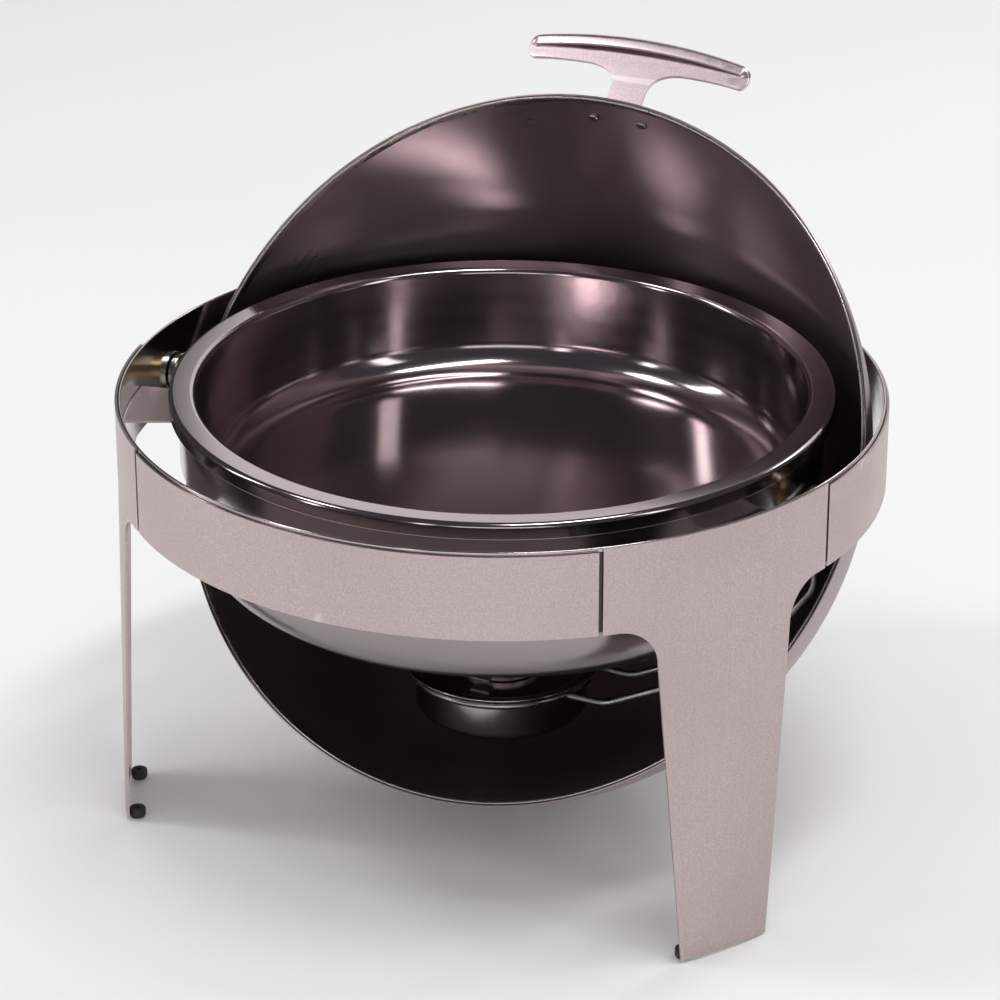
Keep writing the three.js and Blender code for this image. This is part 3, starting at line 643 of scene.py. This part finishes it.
def make_legs():
    """Plate legs that follow the band's curve and splay a little towards the foot."""
    shoulder = BAND_BOTTOM - LEG_FILLET
    heights = [LEG_BOTTOM + (shoulder - LEG_BOTTOM) * i / 12 for i in range(12)]
    heights += [shoulder + LEG_FILLET * math.sin(math.pi / 2 * i / 20) for i in range(20)]
    heights += [BAND_BOTTOM - 0.02]
    heights += [BAND_BOTTOM + (BAND_TOP - BAND_BOTTOM) * i / 6 for i in range(7)]
    for name, angle in (("left", -LEG_ANGLE), ("right", LEG_ANGLE), ("back", 180)):
        rows = []
        for height in heights:
            span = leg_half_span(height)
            splay = LEG_SPLAY * max(0, (BAND_BOTTOM - height) / BAND_BOTTOM)
            rows.append((height, BAND_RADIUS + splay, -span, span))
        matrix = CENTRE @ turn(math.radians(angle), 4, "Z")
        leg = rolled_sheet(rows, 28, SHEET)
        piece(f"leg_{name}_sheet", leg, leg_satin, "frame", [f"leg_{name}"], matrix, bevel=0.35)


def make_feet():
    """Rubber buttons with a chamfered sole and a shallow screw recess."""
    chamfer = recess = 1.6
    recess_depth = 2
    for leg in ("left", "right", "back"):
        for end in "ab":
            node = f"foot_{leg}_{end}"
            low, high = box_mm(node)
            middle = (low + high) / 2
            radius = (high.x - low.x) / 2
            top = high.z
            outline = rounded([(0, 0, 0), (radius * 0.86, 0, 0.8), (radius, chamfer, 0.8), (radius, top, 0.9),
                               (recess, top, 0.3), (recess, top - recess_depth, 0.2),
                               (0, top - recess_depth, 0)], 5)
            matrix = place((middle.x * MM, middle.y * MM, 0))
            button = lathe(outline, BUTTON_ROUND)
            piece(f"{node}_button", button, rubber, "frame", [node], matrix)


# ---- carrier ring, shelves and bumpers

def make_carrier():
    low, high = box_mm("carrier_ring")
    radius = CARRIER_RADIUS - SHEET / 2
    line = [Vector((radius, low.z + SHEET / 2)), Vector((radius, high.z - SHEET / 2))]
    ring = lathe(sheet_outline(line, SHEET), LARGE_ROUND)
    piece("carrier_ring_sheet", ring, burner_mirror, "frame", ["carrier_ring"])


def make_shelves():
    """Curved plates that tie the carrier ring to the hoop, just clear of both."""
    inner, outer = CARRIER_RADIUS + 0.3, HOOP_RADIUS - SHEET - 0.45
    for name, side in SIDES:
        node = f"side_shelf_{name}"
        low, high = box_mm(node)
        start = SHELF_FRONT_ANGLE
        end = math.degrees(math.asin(max(abs(low.x), abs(high.x)) / outer))
        turns = [math.radians(start + (end - start) * i / 24) for i in range(25)]
        rim = [Vector((side * outer * math.sin(t), -outer * math.cos(t))) for t in turns]
        rim += [Vector((side * inner * math.sin(t), -inner * math.cos(t))) for t in reversed(turns)]
        matrix = CENTRE @ place((0, 0, (low.z + high.z) / 2 * MM))
        piece(f"{node}_plate", plate(rim, high.z - low.z), band_satin, "frame", [node], matrix)


def make_bumpers():
    """Tapered rubber buttons on the inside of the hoop, which the closed lid rests on."""
    collar, length = 5.5, 10.5
    seat = HOOP_RADIUS - SHEET - 0.5
    for name, _ in SIDES:
        node = f"lid_bumper_{name}"
        low, high = box_mm(node)
        middle = (low + high) / 2
        radius = (high.z - low.z) / 2
        angle = math.atan2(middle.x, -(middle.y - axis_y))
        outline = rounded([(0, 0, 0), (radius, 0, 0.4), (radius, collar, 1.2), (radius * 0.62, length, 1.6),
                           (0, length, 0)], 5)
        matrix = (CENTRE @ turn(angle, 4, "Z") @ place((0, -seat * MM, middle.z * MM))
                  @ turn(-math.pi / 2, 4, "X"))
        button = lathe(outline, BUTTON_ROUND)
        piece(f"{node}_button", button, rubber, "frame", [node], matrix)


# ---- pivots

def hex_nut(corner, top, bore):
    """A hexagon with turned-off corners and a domed cap, drawn from its open end at Z = 0 upwards."""
    flat = corner * math.cos(math.pi / 6)
    sides = 48
    waist = top * 0.55
    chamfer = 0.6
    floor = top - 1.6
    verts, rows = [], []

    def ring(height, size_at):
        first = len(verts)
        for k in range(sides):
            t = 2 * math.pi * k / sides
            r = size_at(t)
            verts.append((r * math.cos(t), r * math.sin(t), height))
        rows.append(range(first, first + sides))

    def circle(radius):
        return lambda _: radius

    def hexagon(shrink):
        def size_at(t):
            around = (t + math.pi / 6) % (math.pi / 3) - math.pi / 6
            return min(flat / math.cos(around), corner * shrink)
        return size_at

    ring(0, circle(bore))
    ring(0, hexagon(0.9))
    ring(chamfer, hexagon(1.0))
    ring(waist - chamfer, hexagon(1.0))
    ring(waist, hexagon(0.88))
    for k in range(8):
        t = math.pi / 2 * k / 8
        ring(waist + (top - waist) * math.sin(t), circle(flat * 0.86 * math.cos(t)))
    tip = len(verts)
    verts.append((0, 0, top))
    ring(floor, circle(bore))
    inner_tip = len(verts)
    verts.append((0, 0, floor))
    inside = rows.pop()
    faces = []
    for k in range(sides):
        j = (k + 1) % sides
        faces += [(a[k], a[j], b[j], b[k]) for a, b in zip(rows, rows[1:])]
        faces += [(rows[-1][k], rows[-1][j], tip), (rows[0][j], rows[0][k], inside[k], inside[j]),
                  (inside[j], inside[k], inner_tip)]
    return verts, faces


def span_along_x(node, side):
    """How near and how far a turned piece reaches along X on its side, and its radius."""
    low, high = box_mm(node)
    near, far = sorted((side * low.x, side * high.x))
    return near, far, (high.z - low.z) / 2


def make_pivots():
    """A stud on each side of the hoop, with its washer and cap nut, and the bush that the lid turns on."""
    boss = LID_RADIUS + 0.4
    for name, side in SIDES:
        matrix = along_x(side)
        node = f"pivot_stud_{name}"
        near, far, radius = span_along_x(node, side)
        outline = rounded([(0, near, 0), (PIVOT_SHANK, near, 0.6), (PIVOT_SHANK, boss, 0.3),
                           (radius, boss, 0.5), (radius, far, 0.6), (0, far, 0)], 4)
        stud = lathe(outline, PIVOT_ROUND)
        piece(f"{node}_turned", stud, turned_steel, "frame", [node], matrix)
        node = f"pivot_washer_{name}"
        near, far, radius = span_along_x(node, side)
        washer = lathe(ring_outline(PIVOT_BORE, radius, near, far), PIVOT_ROUND)
        piece(f"{node}_ring", washer, turned_steel, "frame", [node], matrix)
        node = f"pivot_nut_{name}"
        near, far, _ = span_along_x(node, side)
        nut = hex_nut(NUT_CORNER_RADIUS, far - near, NUT_BORE)
        turned_round = matrix @ place((0, 0, far * MM)) @ turn(math.pi, 4, "X")
        piece(f"{node}_cap", nut, brass_metal, "frame", [node], turned_round, smooth=30)
        node = f"pivot_bush_{name}"
        near, far, _ = span_along_x(node, side)
        bush = lathe(ring_outline(PIVOT_BORE, BUSH_RADIUS, near, far, 0.3, 0.5), PIVOT_ROUND)
        piece(f"{node}_ring", bush, brass_metal, "lid", [node], matrix)


# ---- lid

def make_dome():
    middle = LID_RADIUS - LID_SHEET / 2
    lowest = math.degrees(math.asin((LID_RIM_OFFSET + LID_SHEET / 2) / middle))
    line = on_arc((0, 0), middle, 90, lowest, 56)
    line[0] = Vector((0.0, middle))
    dome = lathe(sheet_outline(line, LID_SHEET), LARGE_ROUND)
    piece("lid_dome_shell", dome, dome_mirror, "lid", ["lid_dome"], LID)


def make_lid_rim():
    """The hem is the dome's edge turned inward and pressed flat."""
    hem = 1.5
    radius = LID_RADIUS - LID_SHEET - 0.15 - hem / 2
    low, high = LID_RIM_OFFSET + hem / 2, LID_RIM_OFFSET + HEM_WIDTH - hem / 2
    line = [Vector((math.sqrt(radius ** 2 - z ** 2), z)) for z in (low, (low + high) / 2, high)]
    ring = lathe(sheet_outline(line, hem), LARGE_ROUND)
    piece("lid_rim_hem", ring, hem_steel, "lid", ["lid_rim"], LID)


def make_ears():
    """Plates that hang the dome on its pivots: round about the bush, with two rivets to the dome."""
    shoulder = 14
    bottom = on_arc((0, 0), EAR_RADIUS, 180, 360, 24)
    corners = [(EAR_HALF_WIDTH, shoulder, 6), (EAR_HALF_WIDTH, EAR_LENGTH, 5),
               (-EAR_HALF_WIDTH, EAR_LENGTH, 5), (-EAR_HALF_WIDTH, shoulder, 6)]
    outline = bottom + rounded([(EAR_RADIUS, 0.4, 0), *corners, (-EAR_RADIUS, 0.4, 0)], 6)
    holes = [round_hole((0, 0), PIVOT_BORE, 24)]
    holes += [round_hole((way * EAR_RIVET_SPREAD, EAR_RIVET_HEIGHT), RIVET_HOLE, 15) for way in (-1, 1)]
    upright = Matrix(((0, 0, 1, 0), (1, 0, 0, 0), (0, 1, 0, 0), (0, 0, 0, 1)))
    for name, _ in SIDES:
        node = f"lid_ear_{name}"
        low, high = box_mm(node)
        middle = (low.x + high.x) / 2
        matrix = LID @ place((middle * MM, 0, 0)) @ upright
        ear = plate(outline, EAR_SHEET, holes)
        piece(f"{node}_plate", ear, turned_steel, "lid", [node], matrix)


def domed_rivet(bottom, top, set_head, domed_head):
    """A rivet along Z between two faces. Each head is a radius and a height, the domed one at the top."""
    set_radius, set_height = set_head
    dome_radius, dome_height = domed_head
    inner = rounded([(0, bottom - set_height, 0), (set_radius, bottom - set_height, 0.5),
                     (set_radius, bottom, 0.2), (RIVET_SHANK, bottom, 0)], 4)
    turns = [math.pi / 2 * k / 8 for k in range(8)]
    dome = [Vector((dome_radius * math.cos(t), top + dome_height * math.sin(t))) for t in turns]
    outer = [Vector((RIVET_SHANK, top)), *dome, Vector((0.0, top + dome_height))]
    return lathe(inner + outer, RIVET_ROUND)


def make_ear_rivets():
    """Two rivets from each ear out through the dome."""
    start = abs(box_mm("lid_ear_right")[0].x) - 0.3
    surface = math.sqrt(LID_RADIUS ** 2 - EAR_RIVET_HEIGHT ** 2 - EAR_RIVET_SPREAD ** 2) + 0.6
    for name, side in SIDES:
        for end, way in (("front", -1), ("rear", 1)):
            node = f"ear_rivet_{name}_{end}"
            matrix = along_x(side, LID, way * EAR_RIVET_SPREAD, EAR_RIVET_HEIGHT)
            shape = domed_rivet(start, surface, (3.9, 1.5), (3.5, 1.2))
            piece(f"{node}_set", shape, turned_steel, "lid", [node], matrix)


def make_handle():
    """A flat T plate whose outer edge is curled back over its face, on a riveted foot."""
    base = LID_RADIUS + 0.3
    half = box_mm("lid_handle")[1].x
    tip = LID_RADIUS + HANDLE_REACH
    curl = tip - HANDLE_SHEET - HANDLE_CURL_GAP / 2
    bow = HANDLE_BAR_BOW
    back = tip - HANDLE_BAR_DEPTH - bow
    stem = HANDLE_STEM_WIDTH / 2
    end = 5
    foot_length, foot_width, foot_sheet = 46, 13, 2.5

    def bend(a, b, c, steps=14):
        return [Vector(a) * (1 - t) ** 2 + Vector(b) * 2 * t * (1 - t) + Vector(c) * t * t
                for t in (i / steps for i in range(1, steps + 1))]

    right = [Vector((stem, base)), Vector((stem, back - 12))]
    right += bend((stem, back - 12), (stem + 2, back + 1), (stem + 20, back + 1.5))
    right += bend((stem + 20, back + 1.5), (half * 0.72, back + 1.5), (half - end, back - 1))
    right += bend((half - end, back - 1), (half, back), (half, back + end))
    corner = bend((half, back + end), (half, curl - bow - 1), (half - end, curl - bow))
    right += corner
    edge = bend((half - end, curl - bow), (0, curl + bow), (end - half, curl - bow), 48)
    left = [Vector((-p.x, p.y)) for p in reversed(right)]
    outline = right + edge[:-1] + left
    face = plate(outline, HANDLE_SHEET, edge=0.6)
    piece("lid_handle_plate", face, handle_satin_painted_light, "lid", ["lid_handle"], HANDLE)
    foot = [(x * foot_length / 2, y * foot_width / 2, 3) for x, y in ((-1, -1), (1, -1), (1, 1), (-1, 1))]
    holes = [round_hole((way * HANDLE_RIVET_SPREAD, 0), RIVET_HOLE, 15) for way in (-1, 1)]
    flange = plate(rounded(foot, 6, True), foot_sheet, holes)
    matrix = HANDLE @ place((0, (base + foot_sheet / 2) * MM, 0)) @ turn(-math.pi / 2, 4, "X")
    piece("lid_handle_foot", flange, handle_satin_painted_light, "lid", ["lid_handle"], matrix)
    far_corner = [Vector((-p.x, p.y)) for p in reversed(corner)]
    make_curl(corner[3:] + edge[:-1] + far_corner[:-3], len(corner) - 3)
    inside = math.sqrt((LID_RADIUS - LID_SHEET) ** 2 - HANDLE_RIVET_SPREAD ** 2) - 1.3
    shape = domed_rivet(inside, base + foot_sheet + 0.3, (3.4, 0.9), (3.5, 1.7))
    for name, way in SIDES:
        node = f"handle_rivet_{name}"
        matrix = HANDLE @ place((way * HANDLE_RIVET_SPREAD * MM, 0, 0)) @ turn(-math.pi / 2, 4, "X")
        piece(f"{node}_set", shape, turned_steel, "lid", [node], matrix)


def make_curl(path, corner_count):
    """The grip curled from the bar's outer edge. Its gap is widest mid-bar and closes at the ends."""
    verts, rings, faces = [], [], []
    middle = (len(path) - 1) / 2
    for i, spot in enumerate(path):
        along = (path[min(i + 1, len(path) - 1)] - path[max(i - 1, 0)]).normalized()
        outward = Vector((along.y, -along.x))
        from_end = min(i, len(path) - 1 - i)
        share = abs(i - middle) / (middle - corner_count)
        settled = min(1.0, from_end / corner_count)
        gap = HANDLE_CURL_GAP * max(0.12, 1 - 0.85 * share * share) * settled
        over = HANDLE_SHEET * (0.3 + 0.7 * settled) + gap
        radius = over / 2
        line = [Vector((-3, 0)), Vector((-0.6, 0))]
        line += on_arc((0, radius), radius, -80, 90, 16)
        line += [Vector((-HANDLE_CURL_LIP * 0.5, over)), Vector((-HANDLE_CURL_LIP, over - 0.1))]
        sink = (1 - settled) * 1.2
        outline = sheet_outline(line, HANDLE_SHEET)
        rings.append(range(len(verts), len(verts) + len(outline)))
        for p in outline:
            flat = spot + outward * (p.x - sink)
            verts.append((flat.x, flat.y, p.y - 0.02))
    for a, b in zip(rings, rings[1:]):
        count = len(a)
        faces += [(a[k], a[(k + 1) % count], b[(k + 1) % count], b[k]) for k in range(count)]
    faces += [tuple(rings[0]), tuple(reversed(rings[-1]))]
    piece("lid_handle_curl", (verts, faces), handle_satin_painted_light, "lid", ["lid_handle"], HANDLE)


# ---- pans

def make_food_pan():
    """Drawn sheet: a slightly tapered wall, a flat rim and a short skirt."""
    low, high = box_mm("food_pan")
    rim, top = reach("food_pan"), high.z
    half = PAN_SHEET / 2
    floor_radius, mouth_radius, skirt = 171.4, 178.6, 9.5
    line = rounded([(0, low.z + half, 0), (floor_radius, low.z + half, 20), (mouth_radius, top - half, 3.4),
                    (rim - half, top - half, 2.2), (rim - half, top - skirt + half, 0)], 10)
    shell = lathe(sheet_outline(line, PAN_SHEET), LARGE_ROUND)
    piece("food_pan_shell", shell, pan_mirror, "food_pan", ["food_pan"])


def make_water_pan():
    """Drawn sheet: an upright wall on a wide round corner, hung by a narrow rim."""
    low, high = box_mm("water_pan")
    rim, top = reach("water_pan"), high.z
    half = PAN_SHEET / 2
    wall = 184.5 - half
    skirt, corner = 6, 42
    line = rounded([(0, low.z + half, 0), (wall, low.z + half, corner), (wall, top - half, 0.9),
                    (rim - half, top - half, 0.9), (rim - half, top - skirt + half, 0)], 14)
    shell = lathe(sheet_outline(line, PAN_SHEET), LARGE_ROUND)
    piece("water_pan_shell", shell, water_pan_shaded_mirror, "water_pan", ["water_pan"])


# ---- burner

def make_cradle():
    """A wire ring that holds the burner, and a looped wire arm on each side, up to the carrier ring."""
    low, high = box_mm("cradle_ring")
    height = (low.z + high.z) / 2
    ring_radius = reach("cradle_ring") - WIRE_RADIUS
    turns = [2 * math.pi * i / 96 for i in range(96)]
    circle = [Vector((ring_radius * math.sin(t), -ring_radius * math.cos(t), height)) for t in turns]
    ring = tube(circle, WIRE_RADIUS, closed=True)
    piece("cradle_ring_wire", ring, wire_steel, "frame", ["cradle_ring"])
    spread, bend, knee, slope = 20, 78, 164, 27
    start = math.sqrt((ring_radius + WIRE_RADIUS + 0.5) ** 2 - spread ** 2)
    knee_height = height + math.tan(math.radians(slope)) * (knee - bend)
    hook = CARRIER_RADIUS + WIRE_RADIUS + 0.6
    top = box_mm("carrier_ring")[0].z + 8
    for name, side in SIDES:
        def run(y):
            """One side of the loop: level from the ring, up the slope, and steeply to the carrier ring."""
            return [(side * start, y, height, 0), (side * bend, y, height, 24),
                    (side * knee, y, knee_height, 34), (side * hook, y, knee_height + 40, 20),
                    (side * hook, y, top, 9)]
        arm = tube(rounded(run(-spread) + run(spread)[::-1], 10), WIRE_RADIUS)
        piece(f"cradle_arm_{name}_wire", arm, wire_steel, "frame", [f"cradle_arm_{name}"])


def make_burner_cup():
    """A straight cup with a flared rim."""
    low, high = box_mm("burner_cup")
    half = BURNER_SHEET / 2
    wall, rim = 52 - half, reach("burner_cup") - half
    line = rounded([(0, low.z + half, 0), (wall, low.z + half, 4.5), (wall, high.z - 2.4, 1.5),
                    (rim, high.z - half, 0)], 8)
    cup = lathe(sheet_outline(line, BURNER_SHEET), BURNER_ROUND)
    piece("burner_cup_shell", cup, burner_mirror, "burner", ["burner_cup"])


def make_fuel_can():
    """An open tin can with a seamed bead at its bottom and its top."""
    low, high = box_mm("fuel_can")
    sheet, mouth, bead, neck = 0.8, 21, 2.4, 3.4
    half = sheet / 2
    radius = reach("fuel_can") - half
    waist = radius - 1
    line = rounded([(0, low.z + half, 0), (radius, low.z + half, 1.2), (radius, low.z + bead, 0.6),
                    (waist, low.z + neck, 0.6), (waist, high.z - neck, 0.6), (radius, high.z - bead, 0.6),
                    (radius, high.z - half, 1.0), (mouth + half, high.z - half, 0)], 5)
    can = lathe(sheet_outline(line, sheet), CAN_ROUND)
    piece("fuel_can_shell", can, can_tin, "burner", ["fuel_can"])


def barrel(start, end):
    """A knuckle along X, drawn around the snuffer's hinge line."""
    outline = ring_outline(1.8, BARREL_RADIUS, start, end)
    return moved(lathe(outline, PIN_ROUND), turn(math.pi / 2, 4, "Y"))


def block(low, high):
    """A plain bar between two corners, joined into a larger piece."""
    xs, ys, zs = zip(low, high)
    verts = [(x, y, z) for x in xs for y in ys for z in zs]
    faces = [(0, 1, 3, 2), (4, 6, 7, 5), (0, 4, 5, 1), (2, 3, 7, 6), (0, 2, 6, 4), (1, 5, 7, 3)]
    return verts, faces


def make_cover():
    """A flat ring over the fuel can, with two lugs that hold the snuffer's pin."""
    low = box_mm("burner_cover")[0]
    half = BURNER_SHEET / 2
    opening, radius = 19.6, reach("burner_cover")
    line = [Vector((opening, low.z + half)), Vector((radius - half, low.z + half))]
    disc = lathe(sheet_outline(line, BURNER_SHEET), BURNER_ROUND)
    piece("burner_cover_disc", disc, burner_mirror, "burner", ["burner_cover"])
    lug_inside, lug_outside, web_depth = 4, 6.5, 2.2
    for name, side in SIDES:
        start, end = sorted((side * lug_inside, side * lug_outside))
        web = block((start, -web_depth, low.z + half - snuffer_hinge.z), (end, web_depth, -2.6))
        lug = merged(barrel(start, end), web)
        piece(f"burner_cover_lug_{name}", lug, burner_mirror, "burner", ["burner_cover"], SNUFFER_HINGE)


def make_snuffer():
    """A cap with a raised crown, a thumb tab at its front and a strap to the hinge behind it."""
    low, high = box_mm("snuffer_cap")
    half = BURNER_SHEET / 2
    radius, top = reach("snuffer_cap"), high.z
    step = top - 1.5
    line = rounded([(0, top - half, 0), (radius * 0.55, top - half, 1.5), (radius * 0.62, step, 1.5),
                    (radius - half, step, 1.2), (radius - half, low.z + half, 0)], 6)
    cap = lathe(sheet_outline(line, BURNER_SHEET), CAN_ROUND)
    piece("snuffer_cap_shell", cap, band_satin, "snuffer", ["snuffer_cap"])
    strap_half, knuckle_half = 3.2, 3.7
    start = radius - 2 - (snuffer_hinge.y - axis_y)
    strap = block((-strap_half, start, -half), (strap_half, -1.8, half))
    strap = merged(strap, barrel(-knuckle_half, knuckle_half))
    piece("snuffer_strap", strap, band_satin, "snuffer", ["snuffer_cap"], SNUFFER_HINGE)
    half_width, length = 6, 9
    outline = rounded([(-half_width, 0, 0), (half_width, 0, 0), (half_width, length, 3),
                       (-half_width, length, 3)], 6, True)
    tab = plate(outline, BURNER_SHEET)
    matrix = CENTRE @ place((0, -(radius + 7) * MM, (top - 2.2) * MM))
    piece("snuffer_tab", tab, band_satin, "snuffer", ["snuffer_cap"], matrix)


def make_snuffer_pin():
    """The hinge pin, with a flat head at each end."""
    pin, head, inside = 1.4, 2.6, 6.8
    outside = inside + 1.2
    outline = rounded([(0, -outside, 0), (head, -outside, 0.4), (head, -inside, 0.2), (pin, -inside, 0.1),
                       (pin, inside, 0.1), (head, inside, 0.2), (head, outside, 0.4), (0, outside, 0)], 3)
    shape = moved(lathe(outline, PIN_ROUND), turn(math.pi / 2, 4, "Y"))
    piece("snuffer_pin_turned", shape, turned_steel, "burner", ["snuffer_pin"], SNUFFER_HINGE)


# ---- stage, light and camera

def make_stage():
    """A pale paper floor, in metres."""
    half = 30
    corners = [(-half, -half, 0), (half, -half, 0), (half, half, 0), (-half, half, 0)]
    mesh = bpy.data.meshes.new("floor")
    mesh.from_pydata(corners, [], [(0, 1, 2, 3)])
    paper = (0.82, 0.82, 0.82)
    look = Look("floor paper", paper, 0.7, metallic=0.0)
    tone = look.mix(look.noise(3.0, detail=2.0), paper, (0.84, 0.84, 0.84))
    mesh.materials.append(look.finish(tone))
    floor = bpy.data.objects.new("floor", mesh)
    bpy.context.scene.collection.objects.link(floor)


def make_world():
    """Pale for the camera and for soft fill, dim in reflections, as a dark studio around a bright table."""
    world = bpy.data.worlds.new("studio")
    world.use_nodes = True
    tree = world.node_tree
    pale = tree.nodes["Background"]
    pale.inputs["Color"].default_value = (0.9, 0.9, 0.9, 1)
    pale.inputs["Strength"].default_value = 0.68
    dim = tree.nodes.new("ShaderNodeBackground")
    dim.inputs["Color"].default_value = (0.075, 0.07, 0.08, 1)
    dim.inputs["Strength"].default_value = 1.0
    kind = tree.nodes.new("ShaderNodeLightPath")
    mix = tree.nodes.new("ShaderNodeMixShader")
    tree.links.new(kind.outputs["Is Glossy Ray"], mix.inputs[0])
    tree.links.new(pale.outputs[0], mix.inputs[1])
    tree.links.new(dim.outputs[0], mix.inputs[2])
    tree.links.new(mix.outputs[0], tree.nodes["World Output"].inputs["Surface"])
    bpy.context.scene.world = world


def away_from_object(azimuth, elevation):
    """The direction from the object to an azimuth, measured from the front towards +X, and an elevation."""
    a, e = math.radians(azimuth), math.radians(elevation)
    return Vector((math.sin(a) * math.cos(e), -math.cos(a) * math.cos(e), math.sin(e)))


def softbox(name, azimuth, elevation, distance, size, power):
    """A rectangular light, size and distance in metres, that looks at the object's middle."""
    light = bpy.data.lights.new(name, "AREA")
    light.shape = "RECTANGLE"
    light.size, light.size_y = size
    light.energy = power
    made = bpy.data.objects.new(name, light)
    bpy.context.scene.collection.objects.link(made)
    away = away_from_object(azimuth, elevation)
    made.location = away * distance + Vector((0, 0, 0.2))
    made.rotation_euler = away.to_track_quat("Z", "Y").to_euler()
    made.visible_camera = False


def make_lights():
    softbox("top_strip", 72, 74, 2.4, (1.2, 0.24), 20)
    softbox("key_softbox", -62, 54, 2.6, (0.5, 0.4), 9)
    softbox("front_fill", 26, 6, 3.2, (1.8, 1.0), 10)
    softbox("back_panel", 180, 26, 3.0, (3.6, 1.1), 13)
    softbox("back_window", 160, 38, 2.6, (0.55, 0.3), 6)
    softbox("right_strip", 78, 28, 2.4, (0.3, 1.2), 3)
    softbox("left_strip", -70, 26, 2.4, (0.22, 1.2), 6)
    softbox("front_strip", 2, 9, 2.4, (0.22, 1.0), 2)
    softbox("front_left_strip", -36, 9, 2.4, (0.22, 1.0), 3)


def make_camera():
    """The photograph's viewpoint. Its distance and aim are in radii of the band."""
    azimuth, elevation, distance = 26.476, 25.095, 10.321
    aside, below_band = -0.006, 0.328
    radius = BAND_RADIUS * MM
    target = Vector((aside * radius, axis_y * MM, BAND_TOP * MM - below_band * radius))
    away = away_from_object(azimuth, elevation)
    camera = bpy.data.cameras.new("camera")
    camera.sensor_width = 36
    camera.lens = 141.5
    made = bpy.data.objects.new("camera", camera)
    bpy.context.scene.collection.objects.link(made)
    made.location = target + away * (distance * radius)
    made.rotation_euler = away.to_track_quat("Z", "Y").to_euler()
    bpy.context.scene.camera = made


make_band()
make_legs()
make_feet()
make_carrier()
make_shelves()
make_bumpers()
make_pivots()
make_dome()
make_lid_rim()
make_ears()
make_ear_rivets()
make_handle()
make_food_pan()
make_water_pan()
make_cradle()
make_burner_cup()
make_fuel_can()
make_cover()
make_snuffer()
make_snuffer_pin()
make_stage()
make_world()
make_lights()
make_camera()
bpy.context.scene.view_settings.view_transform = "Standard"
